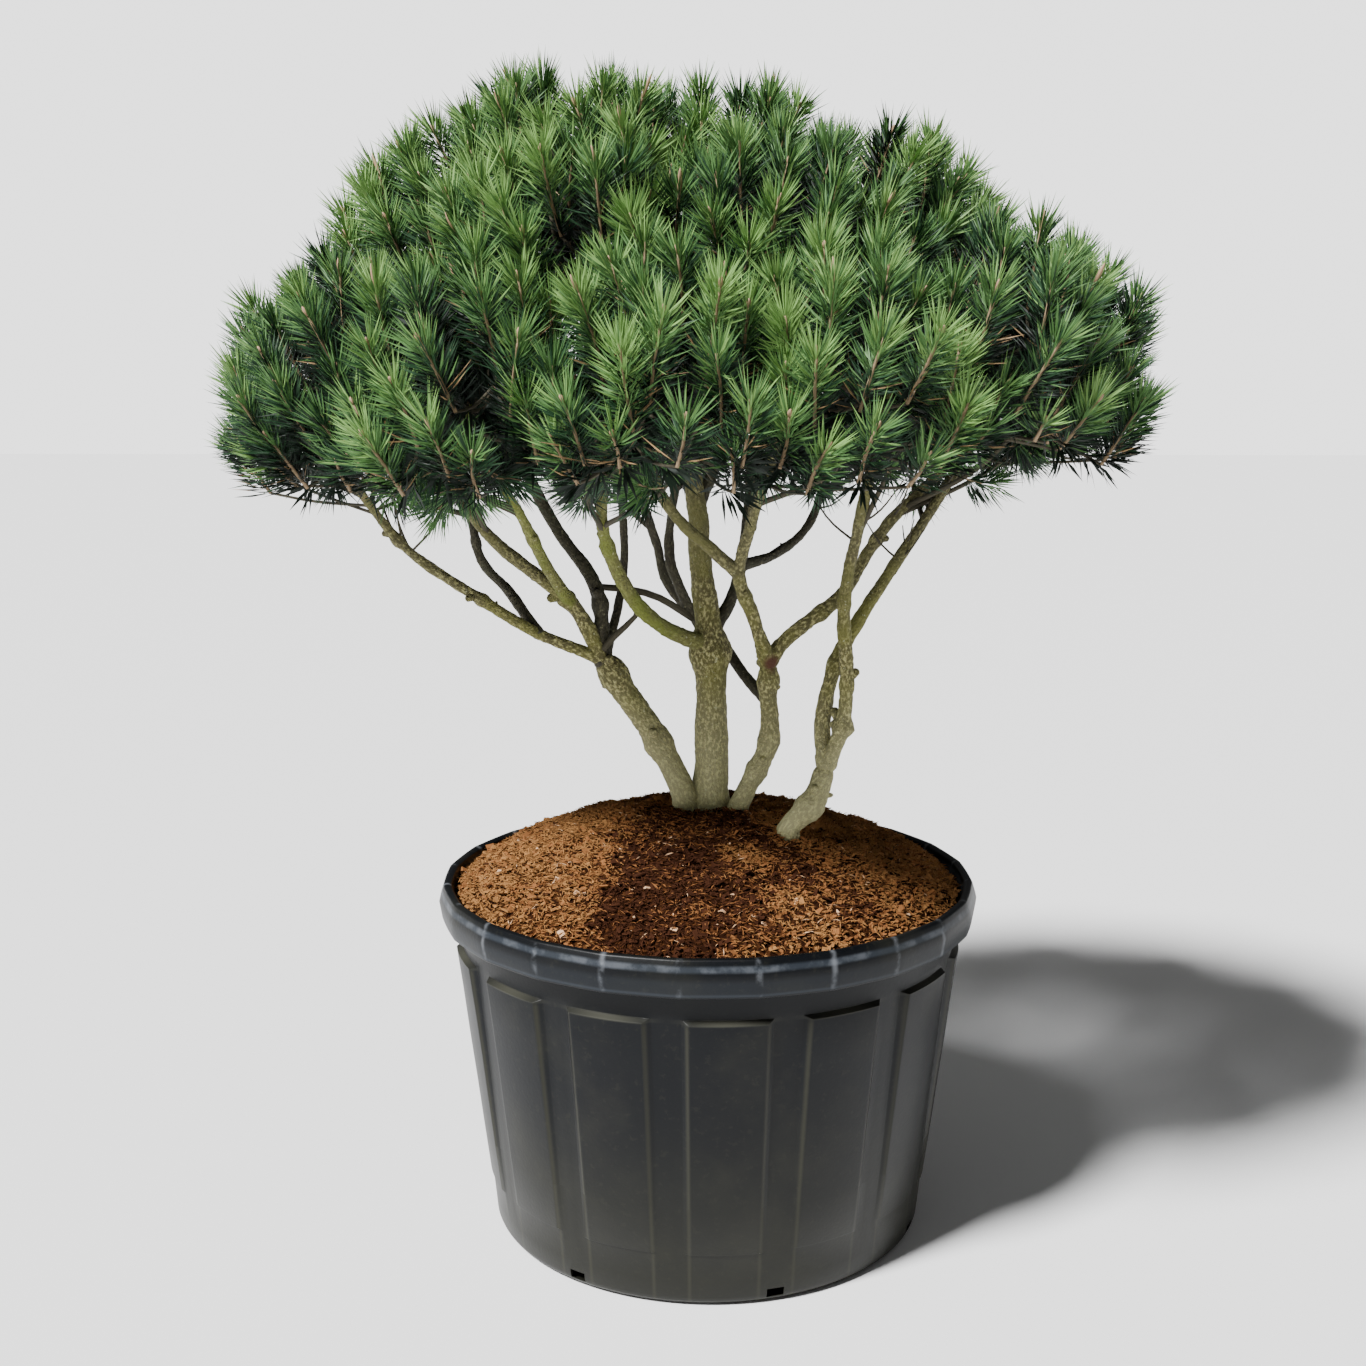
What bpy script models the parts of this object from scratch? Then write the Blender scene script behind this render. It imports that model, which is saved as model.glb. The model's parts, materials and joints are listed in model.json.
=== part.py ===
"""Potted mugo pine: bare crooked stems spread from a mulched tub into a dense domed crown.

Metres, +Z up. The origin is the centre of the tub's flat underside, +X is to the right and -Y is the
front. Each stem and bough is one tapering solid. Each mass of needles is one solid that keeps to its
own cell of the crown: twigs that branch from one stem, with tufts of needles on their ends and a
small core. Neighbouring solids stand GAP apart.
"""
import math
import random
from collections import namedtuple

import bmesh
import bpy
import numpy as np
from mathutils import Vector

# Clearances and tolerances
GAP = 0.0003
WELD = 0.00001
SCREW_MERGE = 0.0001

# The tub
TUB_HEIGHT = 0.549
TUB_WALL = 0.004
TUB_FLOOR = 0.006
TUB_FOOT_RADIUS = 0.335
TUB_FOOT_ROUNDING = 0.014
TUB_BAND_RADIUS = 0.382
TUB_PANELS = 14
STEPS_PER_PITCH = 4
TUB_STEPS = TUB_PANELS * STEPS_PER_PITCH
FRONT_PANEL_TURN = math.radians(4.5)
PANEL_TOP = 0.452
PANEL_FOOT = 0.085
PANEL_RELIEF_TOP = 0.010
PANEL_RELIEF_FOOT = 0.003
PANEL_WALL_TURN = math.radians(1.5)
LIP_RADIUS = 0.417
LIP_CREST_RADIUS = 0.406
LIP_MOUTH_RADIUS = 0.396
LIP_DROP = 0.055
DRAIN_HOLE = (0.024, 0.014)
DRAIN_HOLE_RISE = 0.016
DRAIN_EVERY = 2

# The mulched soil, a low mound with a level top, and a small level heap under the stem at the right
PLATEAU_HEIGHT = 0.658
PLATEAU_RADIUS = 0.085
SOIL_EDGE_RADIUS = 0.384
SOIL_EDGE_HEIGHT = 0.535
SOIL_STEPS = 28
SOIL_ROUGHNESS = 0.004
HEAP_PLACE = (0.122, -0.10)
HEAP_HEIGHT = 0.648
HEAP_RADII = (0.055, 0.030)
HEAP_DEPTH = 0.036

# Stems and boughs
LIMB_STEP = 0.07
LIMB_WANDER = 0.003
KNOB_LENGTH = 0.012
COLLAR_LENGTH = 0.035
COLLAR_SWELL = 1.3
TRUNK_SIDES = 10
STEM_SIDES = 8
BOUGH_SIDES = 6
HEAD_ROUNDING = (0.9, 0.55)

# The crown
CROWN_CENTRE = (-0.035, 0.0)
OUTER_RING = (0.505, 0.44)
OUTER_HEIGHT = 1.305
OUTER_REACH = (0.175, 0.175, 0.195)
INNER_RING_CENTRE = (-0.06, 0.0)
INNER_RING = (0.28, 0.24)
INNER_HEIGHT = 1.50
INNER_REACH = (0.190, 0.190, 0.165)
TOP_REACH = (0.21, 0.20, 0.160)
CELL_MARGIN = 0.0006
LINE_STEP = 0.008
SEAM_DEPTH = 0.016
SEAM_SHIFT = 0.05
BURIED_SHARE = 0.92

# Tufts of needles and the twigs that carry them
TUFT_PLACES = 18
TOP_TUFT_PLACES = 24
TUFT_LENGTH = 0.165
TUFT_RADIUS = 0.068
TUFT_POINTS = 5
WAIST_RADIUS = 0.013
WAIST_HEIGHT = 0.38
SPINDLE_HEIGHT = 0.66
TUFT_LEAN = 0.66
LEAN_SHIFT = 0.4
LOWEST_DIRECTION = -0.60
TWIG_RADIUS = 0.0045
CORE_SHARE = 0.55
SUNK_SHARE = 0.45
LIMB_CLEARANCE = 0.003
CORE_CLEARANCE = 0.030
CORE_EDGE_CLEARANCE = 0.012

BARK = (0.24, 0.21, 0.15)
MOSSY_BARK = (0.26, 0.26, 0.11)
DARK_BARK = (0.11, 0.10, 0.08)
NEEDLES = (0.045, 0.13, 0.05)

Limb = namedtuple("Limb", "name parent along bends tip radii knobs sides colour")
Mass = namedtuple("Mass", "name bough centre reach places")


def clear_scene():
    for obj in list(bpy.data.objects):
        bpy.data.objects.remove(obj, do_unlink=True)


def new_collection(name):
    collection = bpy.data.collections.new(name)
    bpy.context.scene.collection.children.link(collection)
    return collection


def new_material(name, colour, roughness):
    material = bpy.data.materials.new(name)
    material.use_nodes = True
    shader = material.node_tree.nodes["Principled BSDF"]
    shader.inputs["Base Color"].default_value = (*colour, 1.0)
    shader.inputs["Roughness"].default_value = roughness
    shader.inputs["Metallic"].default_value = 0.0
    return material


def new_object(name, mesh, collection):
    obj = bpy.data.objects.new(name, mesh)
    collection.objects.link(obj)
    return obj


def evaluated_copy(obj):
    """The mesh of an object with its modifiers applied and its loose caps welded."""
    graph = bpy.context.evaluated_depsgraph_get()
    mesh = bpy.data.meshes.new_from_object(obj.evaluated_get(graph))
    with_bmesh(mesh, lambda bm: bmesh.ops.remove_doubles(bm, verts=bm.verts, dist=WELD))
    return mesh


def with_bmesh(mesh, change):
    bm = bmesh.new()
    bm.from_mesh(mesh)
    change(bm)
    bm.to_mesh(mesh)
    bm.free()


def finish(obj, material, smooth_angle=35):
    obj.data.materials.clear()
    obj.data.materials.append(material)
    obj.data.shade_smooth()
    obj.data.set_sharp_from_angle(angle=math.radians(smooth_angle))


def turned_mesh(name, profile, steps, collection):
    """A profile of (radius, height), down its outer side, turned about the Z axis."""
    mesh = bpy.data.meshes.new(name)
    mesh.from_pydata([(r, 0.0, z) for r, z in profile], [(i, i + 1) for i in range(len(profile) - 1)], [])
    obj = new_object(name, mesh, collection)
    screw = obj.modifiers.new("turn", "SCREW")
    screw.steps = steps
    screw.render_steps = steps
    screw.use_merge_vertices = True
    screw.merge_threshold = SCREW_MERGE
    turned = evaluated_copy(obj)
    bpy.data.objects.remove(obj, do_unlink=True)
    return turned


def arc(centre, radius, start, end, steps):
    """Points on an arc in the profile's plane, from one angle to another in degrees."""
    angles = [math.radians(start + (end - start) * i / steps) for i in range(steps + 1)]
    return [(centre[0] + radius * math.cos(a), centre[1] + radius * math.sin(a)) for a in angles]


def wall_radius(z):
    """The tub's plain wall between its foot and the band under the lip."""
    share = z / PANEL_TOP
    return TUB_FOOT_RADIUS + (TUB_BAND_RADIUS - TUB_FOOT_RADIUS) * share


def tub_profile():
    lip_foot = TUB_HEIGHT - LIP_DROP
    inside_top = (LIP_MOUTH_RADIUS, TUB_HEIGHT - 0.006)
    inside_band = (wall_radius(lip_foot) - TUB_WALL, lip_foot)
    inside_foot = (wall_radius(TUB_FLOOR) - TUB_WALL, TUB_FLOOR)
    lip = [
        (LIP_CREST_RADIUS - 0.004, TUB_HEIGHT),
        (LIP_CREST_RADIUS + 0.003, TUB_HEIGHT),
        (LIP_RADIUS, TUB_HEIGHT - 0.026),
        (LIP_RADIUS - 0.005, lip_foot),
        (wall_radius(lip_foot), lip_foot + 0.002),
    ]
    foot_centre = (wall_radius(TUB_FOOT_ROUNDING) - TUB_FOOT_ROUNDING, TUB_FOOT_ROUNDING)
    foot = arc(foot_centre, TUB_FOOT_ROUNDING, 0, -90, 3)
    wall = [(wall_radius(z), z) for z in (PANEL_TOP, PANEL_FOOT)]
    return [(0.0, TUB_FLOOR), inside_foot, inside_band, inside_top] + lip + wall + foot + [(0.0, 0.0)]


def raise_panels(bm):
    """Raises the wall's panels, three steps wide and one step apart, with slanting side walls."""
    def is_panel(face):
        middle = face.calc_center_median()
        outside = Vector((middle.x, middle.y, 0.0)).dot(face.normal) > 0.0
        if not outside or not PANEL_FOOT < middle.z < PANEL_TOP:
            return False
        step = math.floor(math.atan2(middle.y, middle.x) / math.tau * TUB_STEPS)
        return step % STEPS_PER_PITCH != STEPS_PER_PITCH - 1

    faces = [face for face in bm.faces if is_panel(face)]
    raised = bmesh.ops.extrude_face_region(bm, geom=faces)
    bmesh.ops.delete(bm, geom=faces, context="FACES")
    for vert in [item for item in raised["geom"] if isinstance(item, bmesh.types.BMVert)]:
        share = (vert.co.z - PANEL_FOOT) / (PANEL_TOP - PANEL_FOOT)
        relief = PANEL_RELIEF_FOOT + (PANEL_RELIEF_TOP - PANEL_RELIEF_FOOT) * share
        turn = math.atan2(vert.co.y, vert.co.x)
        column = round(turn / math.tau * TUB_STEPS) % STEPS_PER_PITCH
        inward = {0: PANEL_WALL_TURN, STEPS_PER_PITCH - 1: -PANEL_WALL_TURN}.get(column, 0.0)
        radius = math.hypot(vert.co.x, vert.co.y) + relief
        drop = relief * 0.6 if share > 0.5 else 0.0
        turn += inward
        vert.co = Vector((radius * math.cos(turn), radius * math.sin(turn), vert.co.z - drop))


def panel_start_turn():
    """The turn that brings the middle of one panel to FRONT_PANEL_TURN, right of the front."""
    panel_middle = (STEPS_PER_PITCH - 1) / 2.0 / TUB_STEPS * math.tau
    return -math.pi / 2.0 + FRONT_PANEL_TURN - panel_middle


def drain_hole(index, collection):
    """A block through the wall at the foot of a strip between two panels."""
    bm = bmesh.new()
    bmesh.ops.create_cube(bm, size=1.0)
    strip_middle = (STEPS_PER_PITCH - 0.5) / TUB_STEPS * math.tau
    turn = panel_start_turn() + strip_middle + index * math.tau / TUB_PANELS
    radius = wall_radius(DRAIN_HOLE_RISE)
    for vert in bm.verts:
        out = radius + vert.co.x * TUB_WALL * 5.0
        side = vert.co.y * DRAIN_HOLE[0]
        vert.co = Vector((
            out * math.cos(turn) - side * math.sin(turn),
            out * math.sin(turn) + side * math.cos(turn),
            DRAIN_HOLE_RISE + vert.co.z * DRAIN_HOLE[1],
        ))
    mesh = bpy.data.meshes.new(f"drain_hole_{index}")
    bm.to_mesh(mesh)
    bm.free()
    cutter = new_object(mesh.name, mesh, collection)
    cutter.hide_render = True
    cutter.display_type = "WIRE"
    return cutter


def build_tub(collection, cutters):
    mesh = turned_mesh("tub", tub_profile(), TUB_STEPS, collection)
    with_bmesh(mesh, raise_panels)
    start = panel_start_turn()
    for vert in mesh.vertices:
        x, y = vert.co.x, vert.co.y
        vert.co.x = x * math.cos(start) - y * math.sin(start)
        vert.co.y = x * math.sin(start) + y * math.cos(start)
    tub = new_object("pot", mesh, collection)
    for index in range(0, TUB_PANELS, DRAIN_EVERY):
        drain_hole(index, cutters)
    cut = tub.modifiers.new("drain_holes", "BOOLEAN")
    cut.operation = "DIFFERENCE"
    cut.solver = "EXACT"
    cut.operand_type = "COLLECTION"
    cut.collection = cutters
    finish(tub, new_material("pot_plastic", (0.035, 0.040, 0.045), 0.45), 25)


def soil_profile():
    slope = [
        (PLATEAU_RADIUS, PLATEAU_HEIGHT),
        (0.165, 0.636),
        (0.245, 0.612),
        (0.315, 0.583),
        (0.360, 0.558),
        (SOIL_EDGE_RADIUS, SOIL_EDGE_HEIGHT),
    ]
    clear = TUB_WALL + GAP * 2.0
    side = [(wall_radius(z) - clear, z) for z in (PANEL_TOP, TUB_FLOOR + GAP)]
    return [(0.0, PLATEAU_HEIGHT)] + slope + side + [(0.0, TUB_FLOOR + GAP)]


def heap_mesh():
    """A low flat-topped heap of soil, on which the stem at the right stands."""
    bm = bmesh.new()
    foot, top = HEAP_RADII
    bmesh.ops.create_cone(bm, cap_ends=True, segments=12, radius1=foot, radius2=top, depth=HEAP_DEPTH)
    bmesh.ops.translate(bm, verts=bm.verts, vec=(*HEAP_PLACE, HEAP_HEIGHT - HEAP_DEPTH / 2.0))
    mesh = bpy.data.meshes.new("heap")
    bm.to_mesh(mesh)
    bm.free()
    return mesh


def build_soil(collection):
    mound = turned_mesh("soil", soil_profile(), SOIL_STEPS, collection)
    rng = random.Random(11)
    for vert in mound.vertices:
        radius = math.hypot(vert.co.x, vert.co.y)
        if PLATEAU_RADIUS + SOIL_ROUGHNESS < radius and vert.co.z > SOIL_EDGE_HEIGHT + SOIL_ROUGHNESS:
            vert.co.z += rng.uniform(-SOIL_ROUGHNESS, SOIL_ROUGHNESS)
    mesh = boolean(mound, [heap_mesh()], "UNION", "EXACT", collection)
    mesh.name = "soil"
    soil = new_object("soil", mesh, collection)
    finish(soil, new_material("mulch", (0.16, 0.08, 0.035), 0.95), 30)


def smooth_path(points):
    """A smooth curve through the points, read about every LIMB_STEP."""
    ends = [points[0] * 2.0 - points[1]] + points + [points[-1] * 2.0 - points[-2]]
    path = [points[0].copy()]
    for a, b, c, d in zip(ends, ends[1:], ends[2:], ends[3:]):
        steps = max(1, round((c - b).length / LIMB_STEP))
        for i in range(1, steps + 1):
            t = i / steps
            path.append(0.5 * (2.0 * b + (c - a) * t + (2.0 * a - 5.0 * b + 4.0 * c - d) * t * t
                               + (3.0 * b - a - 3.0 * c + d) * t * t * t))
    return path


def path_lengths(path):
    lengths = [0.0]
    for a, b in zip(path, path[1:]):
        lengths.append(lengths[-1] + (b - a).length)
    return lengths


def point_along(path, share):
    lengths = path_lengths(path)
    goal = share * lengths[-1]
    for i in range(1, len(path)):
        if lengths[i] >= goal - WELD:
            t = (goal - lengths[i - 1]) / max(lengths[i] - lengths[i - 1], WELD)
            return path[i - 1].lerp(path[i], t)
    return path[-1].copy()


def limb_shape(limb, start):
    """The points of a limb's middle line and the radius at each."""
    rng = random.Random(limb.name)
    path = smooth_path([Vector(start)] + [Vector(p) for p in limb.bends] + [Vector(limb.tip)])
    for i in range(2, len(path) - 2):
        path[i] += Vector([rng.uniform(-LIMB_WANDER, LIMB_WANDER) for _ in range(3)])
    total = path_lengths(path)[-1]
    stations = [length / total for length in path_lengths(path)]
    for knob, _ in limb.knobs:
        stations += [knob - KNOB_LENGTH / total, knob, knob + KNOB_LENGTH / total]
    if limb.parent:
        stations += [COLLAR_LENGTH * share / total for share in (0.4, 1.0)]
    stations = sorted(s for s in stations if 0.0 <= s <= 1.0)
    kept = [0.0]
    for station in stations[1:-1]:
        if min(station - kept[-1], 1.0 - station) * total > KNOB_LENGTH * 0.6:
            kept.append(station)
    kept.append(1.0)
    foot, tip = limb.radii[0], limb.radii[-1]
    shape = []
    for station in kept:
        radius = foot + (tip - foot) * station
        if len(limb.radii) > 2:
            radius = limb.radii[1] + (tip - limb.radii[1]) * station
            radius += (foot - limb.radii[1]) * max(0.0, 1.0 - station * total / COLLAR_LENGTH) ** 2
        elif limb.parent:
            radius *= 1.0 + (COLLAR_SWELL - 1.0) * max(0.0, 1.0 - station * total / COLLAR_LENGTH)
        for knob, swell in limb.knobs:
            if abs(station - knob) * total < KNOB_LENGTH * 0.5:
                radius *= swell
        shape.append((point_along(path, station), radius))
    return shape


def round_head(shape):
    """Rounds off the top of a stem that ends in a fork."""
    (before, _), (last, radius) = shape[-2], shape[-1]
    onward = (last - before).normalized()
    for i, share in enumerate(HEAD_ROUNDING):
        shape.append((last + onward * radius * 0.45 * (i + 1), radius * share))
    return shape


def tube_mesh(name, shape, sides, extra, collection):
    """A closed tube along the middle line, its radius grown by extra."""
    curve = bpy.data.curves.new(name, "CURVE")
    curve.dimensions = "3D"
    curve.bevel_depth = 1.0
    curve.bevel_resolution = (sides - 4) // 2
    curve.use_fill_caps = True
    spline = curve.splines.new("POLY")
    spline.points.add(len(shape) - 1)
    for point, (place, radius) in zip(spline.points, shape):
        point.co = (*place, 1.0)
        point.radius = radius + extra
    obj = new_object(name, curve, collection)
    mesh = evaluated_copy(obj)
    bpy.data.objects.remove(obj, do_unlink=True)
    with_bmesh(mesh, lambda bm: bmesh.ops.recalc_face_normals(bm, faces=bm.faces))
    return mesh


def level_foot(shape):
    """Adds a short upright length at the ground, so that a stem's foot is cut level."""
    (foot, radius), rest = shape[0], shape[1:]
    return [(foot, radius), (foot + Vector((0.0, 0.0, 0.006)), radius * 0.97)] + rest


def boolean(base_mesh, operand_meshes, operation, solver, collection):
    """One Boolean of a mesh with a collection of others, applied."""
    base = new_object("base", base_mesh, collection)
    group = bpy.data.collections.new("operands")
    bpy.context.scene.collection.children.link(group)
    operands = [new_object(f"operand_{i}", mesh, group) for i, mesh in enumerate(operand_meshes)]
    modifier = base.modifiers.new("join", "BOOLEAN")
    modifier.operation = operation
    modifier.solver = solver
    modifier.operand_type = "COLLECTION"
    modifier.collection = group
    result = evaluated_copy(base)
    for obj in operands + [base]:
        bpy.data.objects.remove(obj, do_unlink=True)
    bpy.data.collections.remove(group)
    return result


def shells(bm):
    """The separate closed bodies of a mesh, as lists of faces."""
    left = set(bm.faces)
    found = []
    while left:
        seed = left.pop()
        body, queue = [seed], [seed]
        while queue:
            for edge in queue.pop().edges:
                for face in edge.link_faces:
                    if face in left:
                        left.remove(face)
                        body.append(face)
                        queue.append(face)
        found.append(body)
    return found


def keep_largest(bm):
    """Drops loose scraps and fills sealed hollows, so that one closed body is left."""
    bmesh.ops.dissolve_degenerate(bm, dist=WELD, edges=bm.edges)
    bmesh.ops.triangulate(bm, faces=bm.faces)
    bodies = sorted(shells(bm), key=lambda body: sum(face.calc_area() for face in body))
    for body in bodies[:-1]:
        bmesh.ops.delete(bm, geom=body, context="FACES")
    loose = [vert for vert in bm.verts if not vert.link_faces]
    bmesh.ops.delete(bm, geom=loose, context="VERTS")


def build_limbs(limbs, masses, materials, collection):
    """Makes every stem and bough, each cut clear of what it grows from and of its elder siblings."""
    shapes, starts = {}, {}
    for limb in limbs:
        if limb.parent:
            start = point_along([place for place, _ in shapes[limb.parent]], limb.along)
        else:
            ground = HEAP_HEIGHT if limb.along == HEAP_PLACE else PLATEAU_HEIGHT
            start = Vector((*limb.along, ground + GAP))
        shape = limb_shape(limb, start)
        if not limb.parent:
            shape = level_foot(shape)
        if limb.name not in {mass.bough for mass in masses}:
            shape = round_head(shape)
        shapes[limb.name] = shape
        starts[limb.name] = start
    for index, limb in enumerate(limbs):
        mesh = tube_mesh(limb.name, shapes[limb.name], limb.sides, 0.0, collection)
        cutters = []
        for other in limbs[:index]:
            near = other.name == limb.parent or (starts[other.name] - starts[limb.name]).length < 0.12
            if near:
                grown = GAP / math.cos(math.pi / other.sides)
                cutters.append(tube_mesh("cutter", shapes[other.name], other.sides, grown, collection))
        if cutters:
            mesh = boolean(mesh, cutters, "DIFFERENCE", "EXACT", collection)
        with_bmesh(mesh, keep_largest)
        mesh.name = limb.name
        finish(new_object(limb.name, mesh, collection), materials[limb.colour], 50)
    return shapes


def limb_segments(shapes):
    """The straight lengths of every limb: ends and radii, as arrays."""
    lengths = [pair for shape in shapes.values() for pair in zip(shape, shape[1:])]
    starts = np.array([tuple(a) for (a, _), _ in lengths])
    ends = np.array([tuple(b) for _, (b, _) in lengths])
    radii = np.array([(radius_a, radius_b) for (_, radius_a), (_, radius_b) in lengths])
    return starts, ends - starts, radii


def limb_gap(points, segments):
    """How far the nearest of the points is outside the nearest of the limbs."""
    starts, lines, radii = segments
    offset = points[:, None] - starts
    t = np.clip((offset * lines).sum(axis=2) / (lines * lines).sum(axis=1), 0.0, 1.0)
    away = np.linalg.norm(offset - lines * t[:, :, None], axis=2)
    return float((away - radii[:, 0] - (radii[:, 1] - radii[:, 0]) * t).min())


class Cell:
    """The space that one mass keeps to: nearer to its own centre than to another's, clear of limbs."""

    def __init__(self, mass, masses, segments):
        self.centre = Vector(mass.centre)
        self.others = [other for other in masses if other.name != mass.name]
        self.neighbours = [Vector(other.centre) for other in self.others]
        self.middles = np.array([tuple((other + self.centre) * 0.5) for other in self.neighbours])
        self.outward = np.array([tuple((other - self.centre).normalized()) for other in self.neighbours])
        self.segments = segments

    def holds(self, points, clearance=LIMB_CLEARANCE):
        points = np.array([tuple(point) for point in points])
        beyond = ((points[:, None] - self.middles) * self.outward).sum(axis=2)
        return beyond.max() < -CELL_MARGIN and limb_gap(points, self.segments) > clearance

    def holds_line(self, start, end, clearance=LIMB_CLEARANCE):
        count = math.ceil((end - start).length / LINE_STEP) + 1
        return self.holds([start.lerp(end, i / count) for i in range(count + 1)], clearance)

    def drawn_in(self, point):
        """The point moved square to the cell's walls until it lies SEAM_DEPTH inside them."""
        for other in self.neighbours:
            away = other - self.centre
            beyond = (point - self.centre).dot(away) / away.length - away.length * 0.5 + SEAM_DEPTH
            point = point - away.normalized() * max(beyond, 0.0)
        return point

    def buried(self, point):
        """Whether the point is deep inside a neighbouring mass, where no tuft would be seen."""
        for other in self.others:
            offset = [(a - b) / reach for a, b, reach in zip(point, other.centre, other.reach)]
            if math.hypot(*offset) < BURIED_SHARE:
                return True
        return False


def golden_directions(count, turn):
    """Directions spread evenly over a ball, turned about the vertical."""
    golden = math.pi * (3.0 - math.sqrt(5.0))
    for i in range(count):
        z = 1.0 - 2.0 * (i + 0.4) / count
        flat = math.sqrt(max(0.0, 1.0 - z * z))
        yield Vector((flat * math.cos(golden * i + turn), flat * math.sin(golden * i + turn), z))


def leaning_axis(tip, centre):
    """The way a shoot points: upright on top of a mass, leaning out of the crown down its side."""
    middle = centre.lerp(Vector((*CROWN_CENTRE, centre.z)), LEAN_SHIFT)
    offset = tip - middle
    flat = Vector((offset.x, offset.y, 0.0))
    lean = math.atan2(flat.length, offset.z) * TUFT_LEAN
    return flat.normalized() * math.sin(lean) + Vector((0.0, 0.0, math.cos(lean)))


def tuft_mesh(root, tip, radius, turn, cell):
    """A slim spindle with needles standing out of its waist, each drawn in until the cell holds it."""
    axis = tip - root
    side = axis.orthogonal().normalized()
    cross = axis.normalized().cross(side)
    middle = root + axis * WAIST_HEIGHT
    if not cell.holds_line(root, root + axis * SPINDLE_HEIGHT, LIMB_CLEARANCE + WAIST_RADIUS * 0.5):
        return None
    waist, needles = [], []
    for i in range(TUFT_POINTS):
        angle = turn + math.tau * i / TUFT_POINTS
        waist.append(middle + (side * math.cos(angle) + cross * math.sin(angle)) * WAIST_RADIUS)
        angle += math.pi / TUFT_POINTS
        out = side * math.cos(angle) + cross * math.sin(angle)
        reach = radius
        while reach > WAIST_RADIUS and not cell.holds_line(middle + out * WAIST_RADIUS, tip + out * reach):
            reach *= 0.85
        needles.append(tip + out * reach)
    if not cell.holds(waist + needles):
        return None
    points = [root, root + axis * SPINDLE_HEIGHT] + waist + needles
    faces = []
    for i in range(TUFT_POINTS):
        a, b, needle = 2 + i, 2 + (i + 1) % TUFT_POINTS, 2 + TUFT_POINTS + i
        faces += [(0, b, a), (a, b, needle), (a, needle, 1), (needle, b, 1)]
    mesh = bpy.data.meshes.new("tuft")
    mesh.from_pydata([tuple(point) for point in points], [], faces)
    return mesh


def core_mesh(mass, cell):
    """The dense middle of a mass, drawn in where it would leave its cell or come near a limb."""
    bm = bmesh.new()
    bmesh.ops.create_icosphere(bm, subdivisions=1, radius=1.0)
    for vert in bm.verts:
        reach = Vector([a * b for a, b in zip(mass.reach, vert.co)])
        share = CORE_SHARE
        while share > 0.1 and not cell.holds([cell.centre + reach * share], CORE_CLEARANCE):
            share *= 0.9
        vert.co = cell.centre + reach * share
    def is_clear(edge):
        start, end = edge.verts
        return cell.holds_line(start.co, end.co, CORE_EDGE_CLEARANCE)

    while not all(is_clear(edge) for edge in bm.edges):
        for vert in bm.verts:
            vert.co = cell.centre.lerp(vert.co, 0.9)
    mesh = bpy.data.meshes.new("core")
    bm.to_mesh(mesh)
    bm.free()
    return mesh


def twig_mesh(start, end):
    """A three-sided twig, a little thinner at its end."""
    line = end - start
    bm = bmesh.new()
    foot, top = TWIG_RADIUS, TWIG_RADIUS * 0.7
    bmesh.ops.create_cone(bm, cap_ends=True, segments=3, radius1=foot, radius2=top, depth=line.length)
    turn = line.to_track_quat("Z", "Y")
    for vert in bm.verts:
        vert.co = turn @ vert.co + (start + end) * 0.5
    mesh = bpy.data.meshes.new("twig")
    bm.to_mesh(mesh)
    bm.free()
    return mesh


def build_mass(mass, bough, cell, material, collection):
    """One mass of needles: a stem on from its bough, a core, twigs and tufts, joined in one solid."""
    rng = random.Random(mass.name)
    (before, _), (end, end_radius) = bough[-2:]
    onward = (end - before).normalized()
    foot = end + onward * GAP
    hub = cell.centre - Vector((0.0, 0.0, mass.reach[2] * 0.1))
    bend = foot + onward * (hub - foot).length * 0.45
    stem = [(foot, end_radius), (foot + onward * 0.01, end_radius)]
    stem += [(bend, end_radius * 0.85), (hub, TWIG_RADIUS)]
    fork = bend.lerp(hub, 0.5)
    pieces = [core_mesh(mass, cell)]
    for direction in golden_directions(mass.places, rng.uniform(0.0, math.tau)):
        twist, stretch = rng.uniform(0.0, math.tau), rng.uniform(0.92, 1.08)
        if direction.z < LOWEST_DIRECTION:
            continue
        outer = cell.centre + Vector([a * b for a, b in zip(mass.reach, direction)])
        tip = cell.drawn_in(outer)
        if (tip - outer).length > SEAM_SHIFT or cell.buried(tip):
            continue
        root = tip - leaning_axis(tip, cell.centre) * TUFT_LENGTH * stretch
        inner = root.lerp(tip, 0.3)
        sunk = math.hypot(*[a / b for a, b in zip(root - cell.centre, mass.reach)]) < SUNK_SHARE
        if not sunk and not cell.holds_line(fork, inner, LIMB_CLEARANCE + TWIG_RADIUS):
            continue
        tuft = tuft_mesh(root, tip, TUFT_RADIUS * stretch, twist, cell)
        if tuft:
            pieces += [tuft] if sunk else [tuft, twig_mesh(fork, inner)]
    mesh = boolean(tube_mesh("stem", stem, 6, 0.0, collection), pieces, "UNION", "EXACT", collection)
    with_bmesh(mesh, keep_largest)
    mesh.name = mass.name
    finish(new_object(mass.name, mesh, collection), material, 20)


def ring_masses(ring, centre, radii, height, reach):
    """Masses set round an ellipse by their azimuth in degrees, from +X towards the back."""
    found = []
    for name, bough, azimuth, stretch, lift in ring:
        a = math.radians(azimuth)
        x = centre[0] + radii[0] * stretch * math.cos(a)
        y = centre[1] + radii[1] * stretch * math.sin(a)
        found.append(Mass(name, bough, (x, y, height + lift), reach, TUFT_PLACES))
    return found


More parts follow.
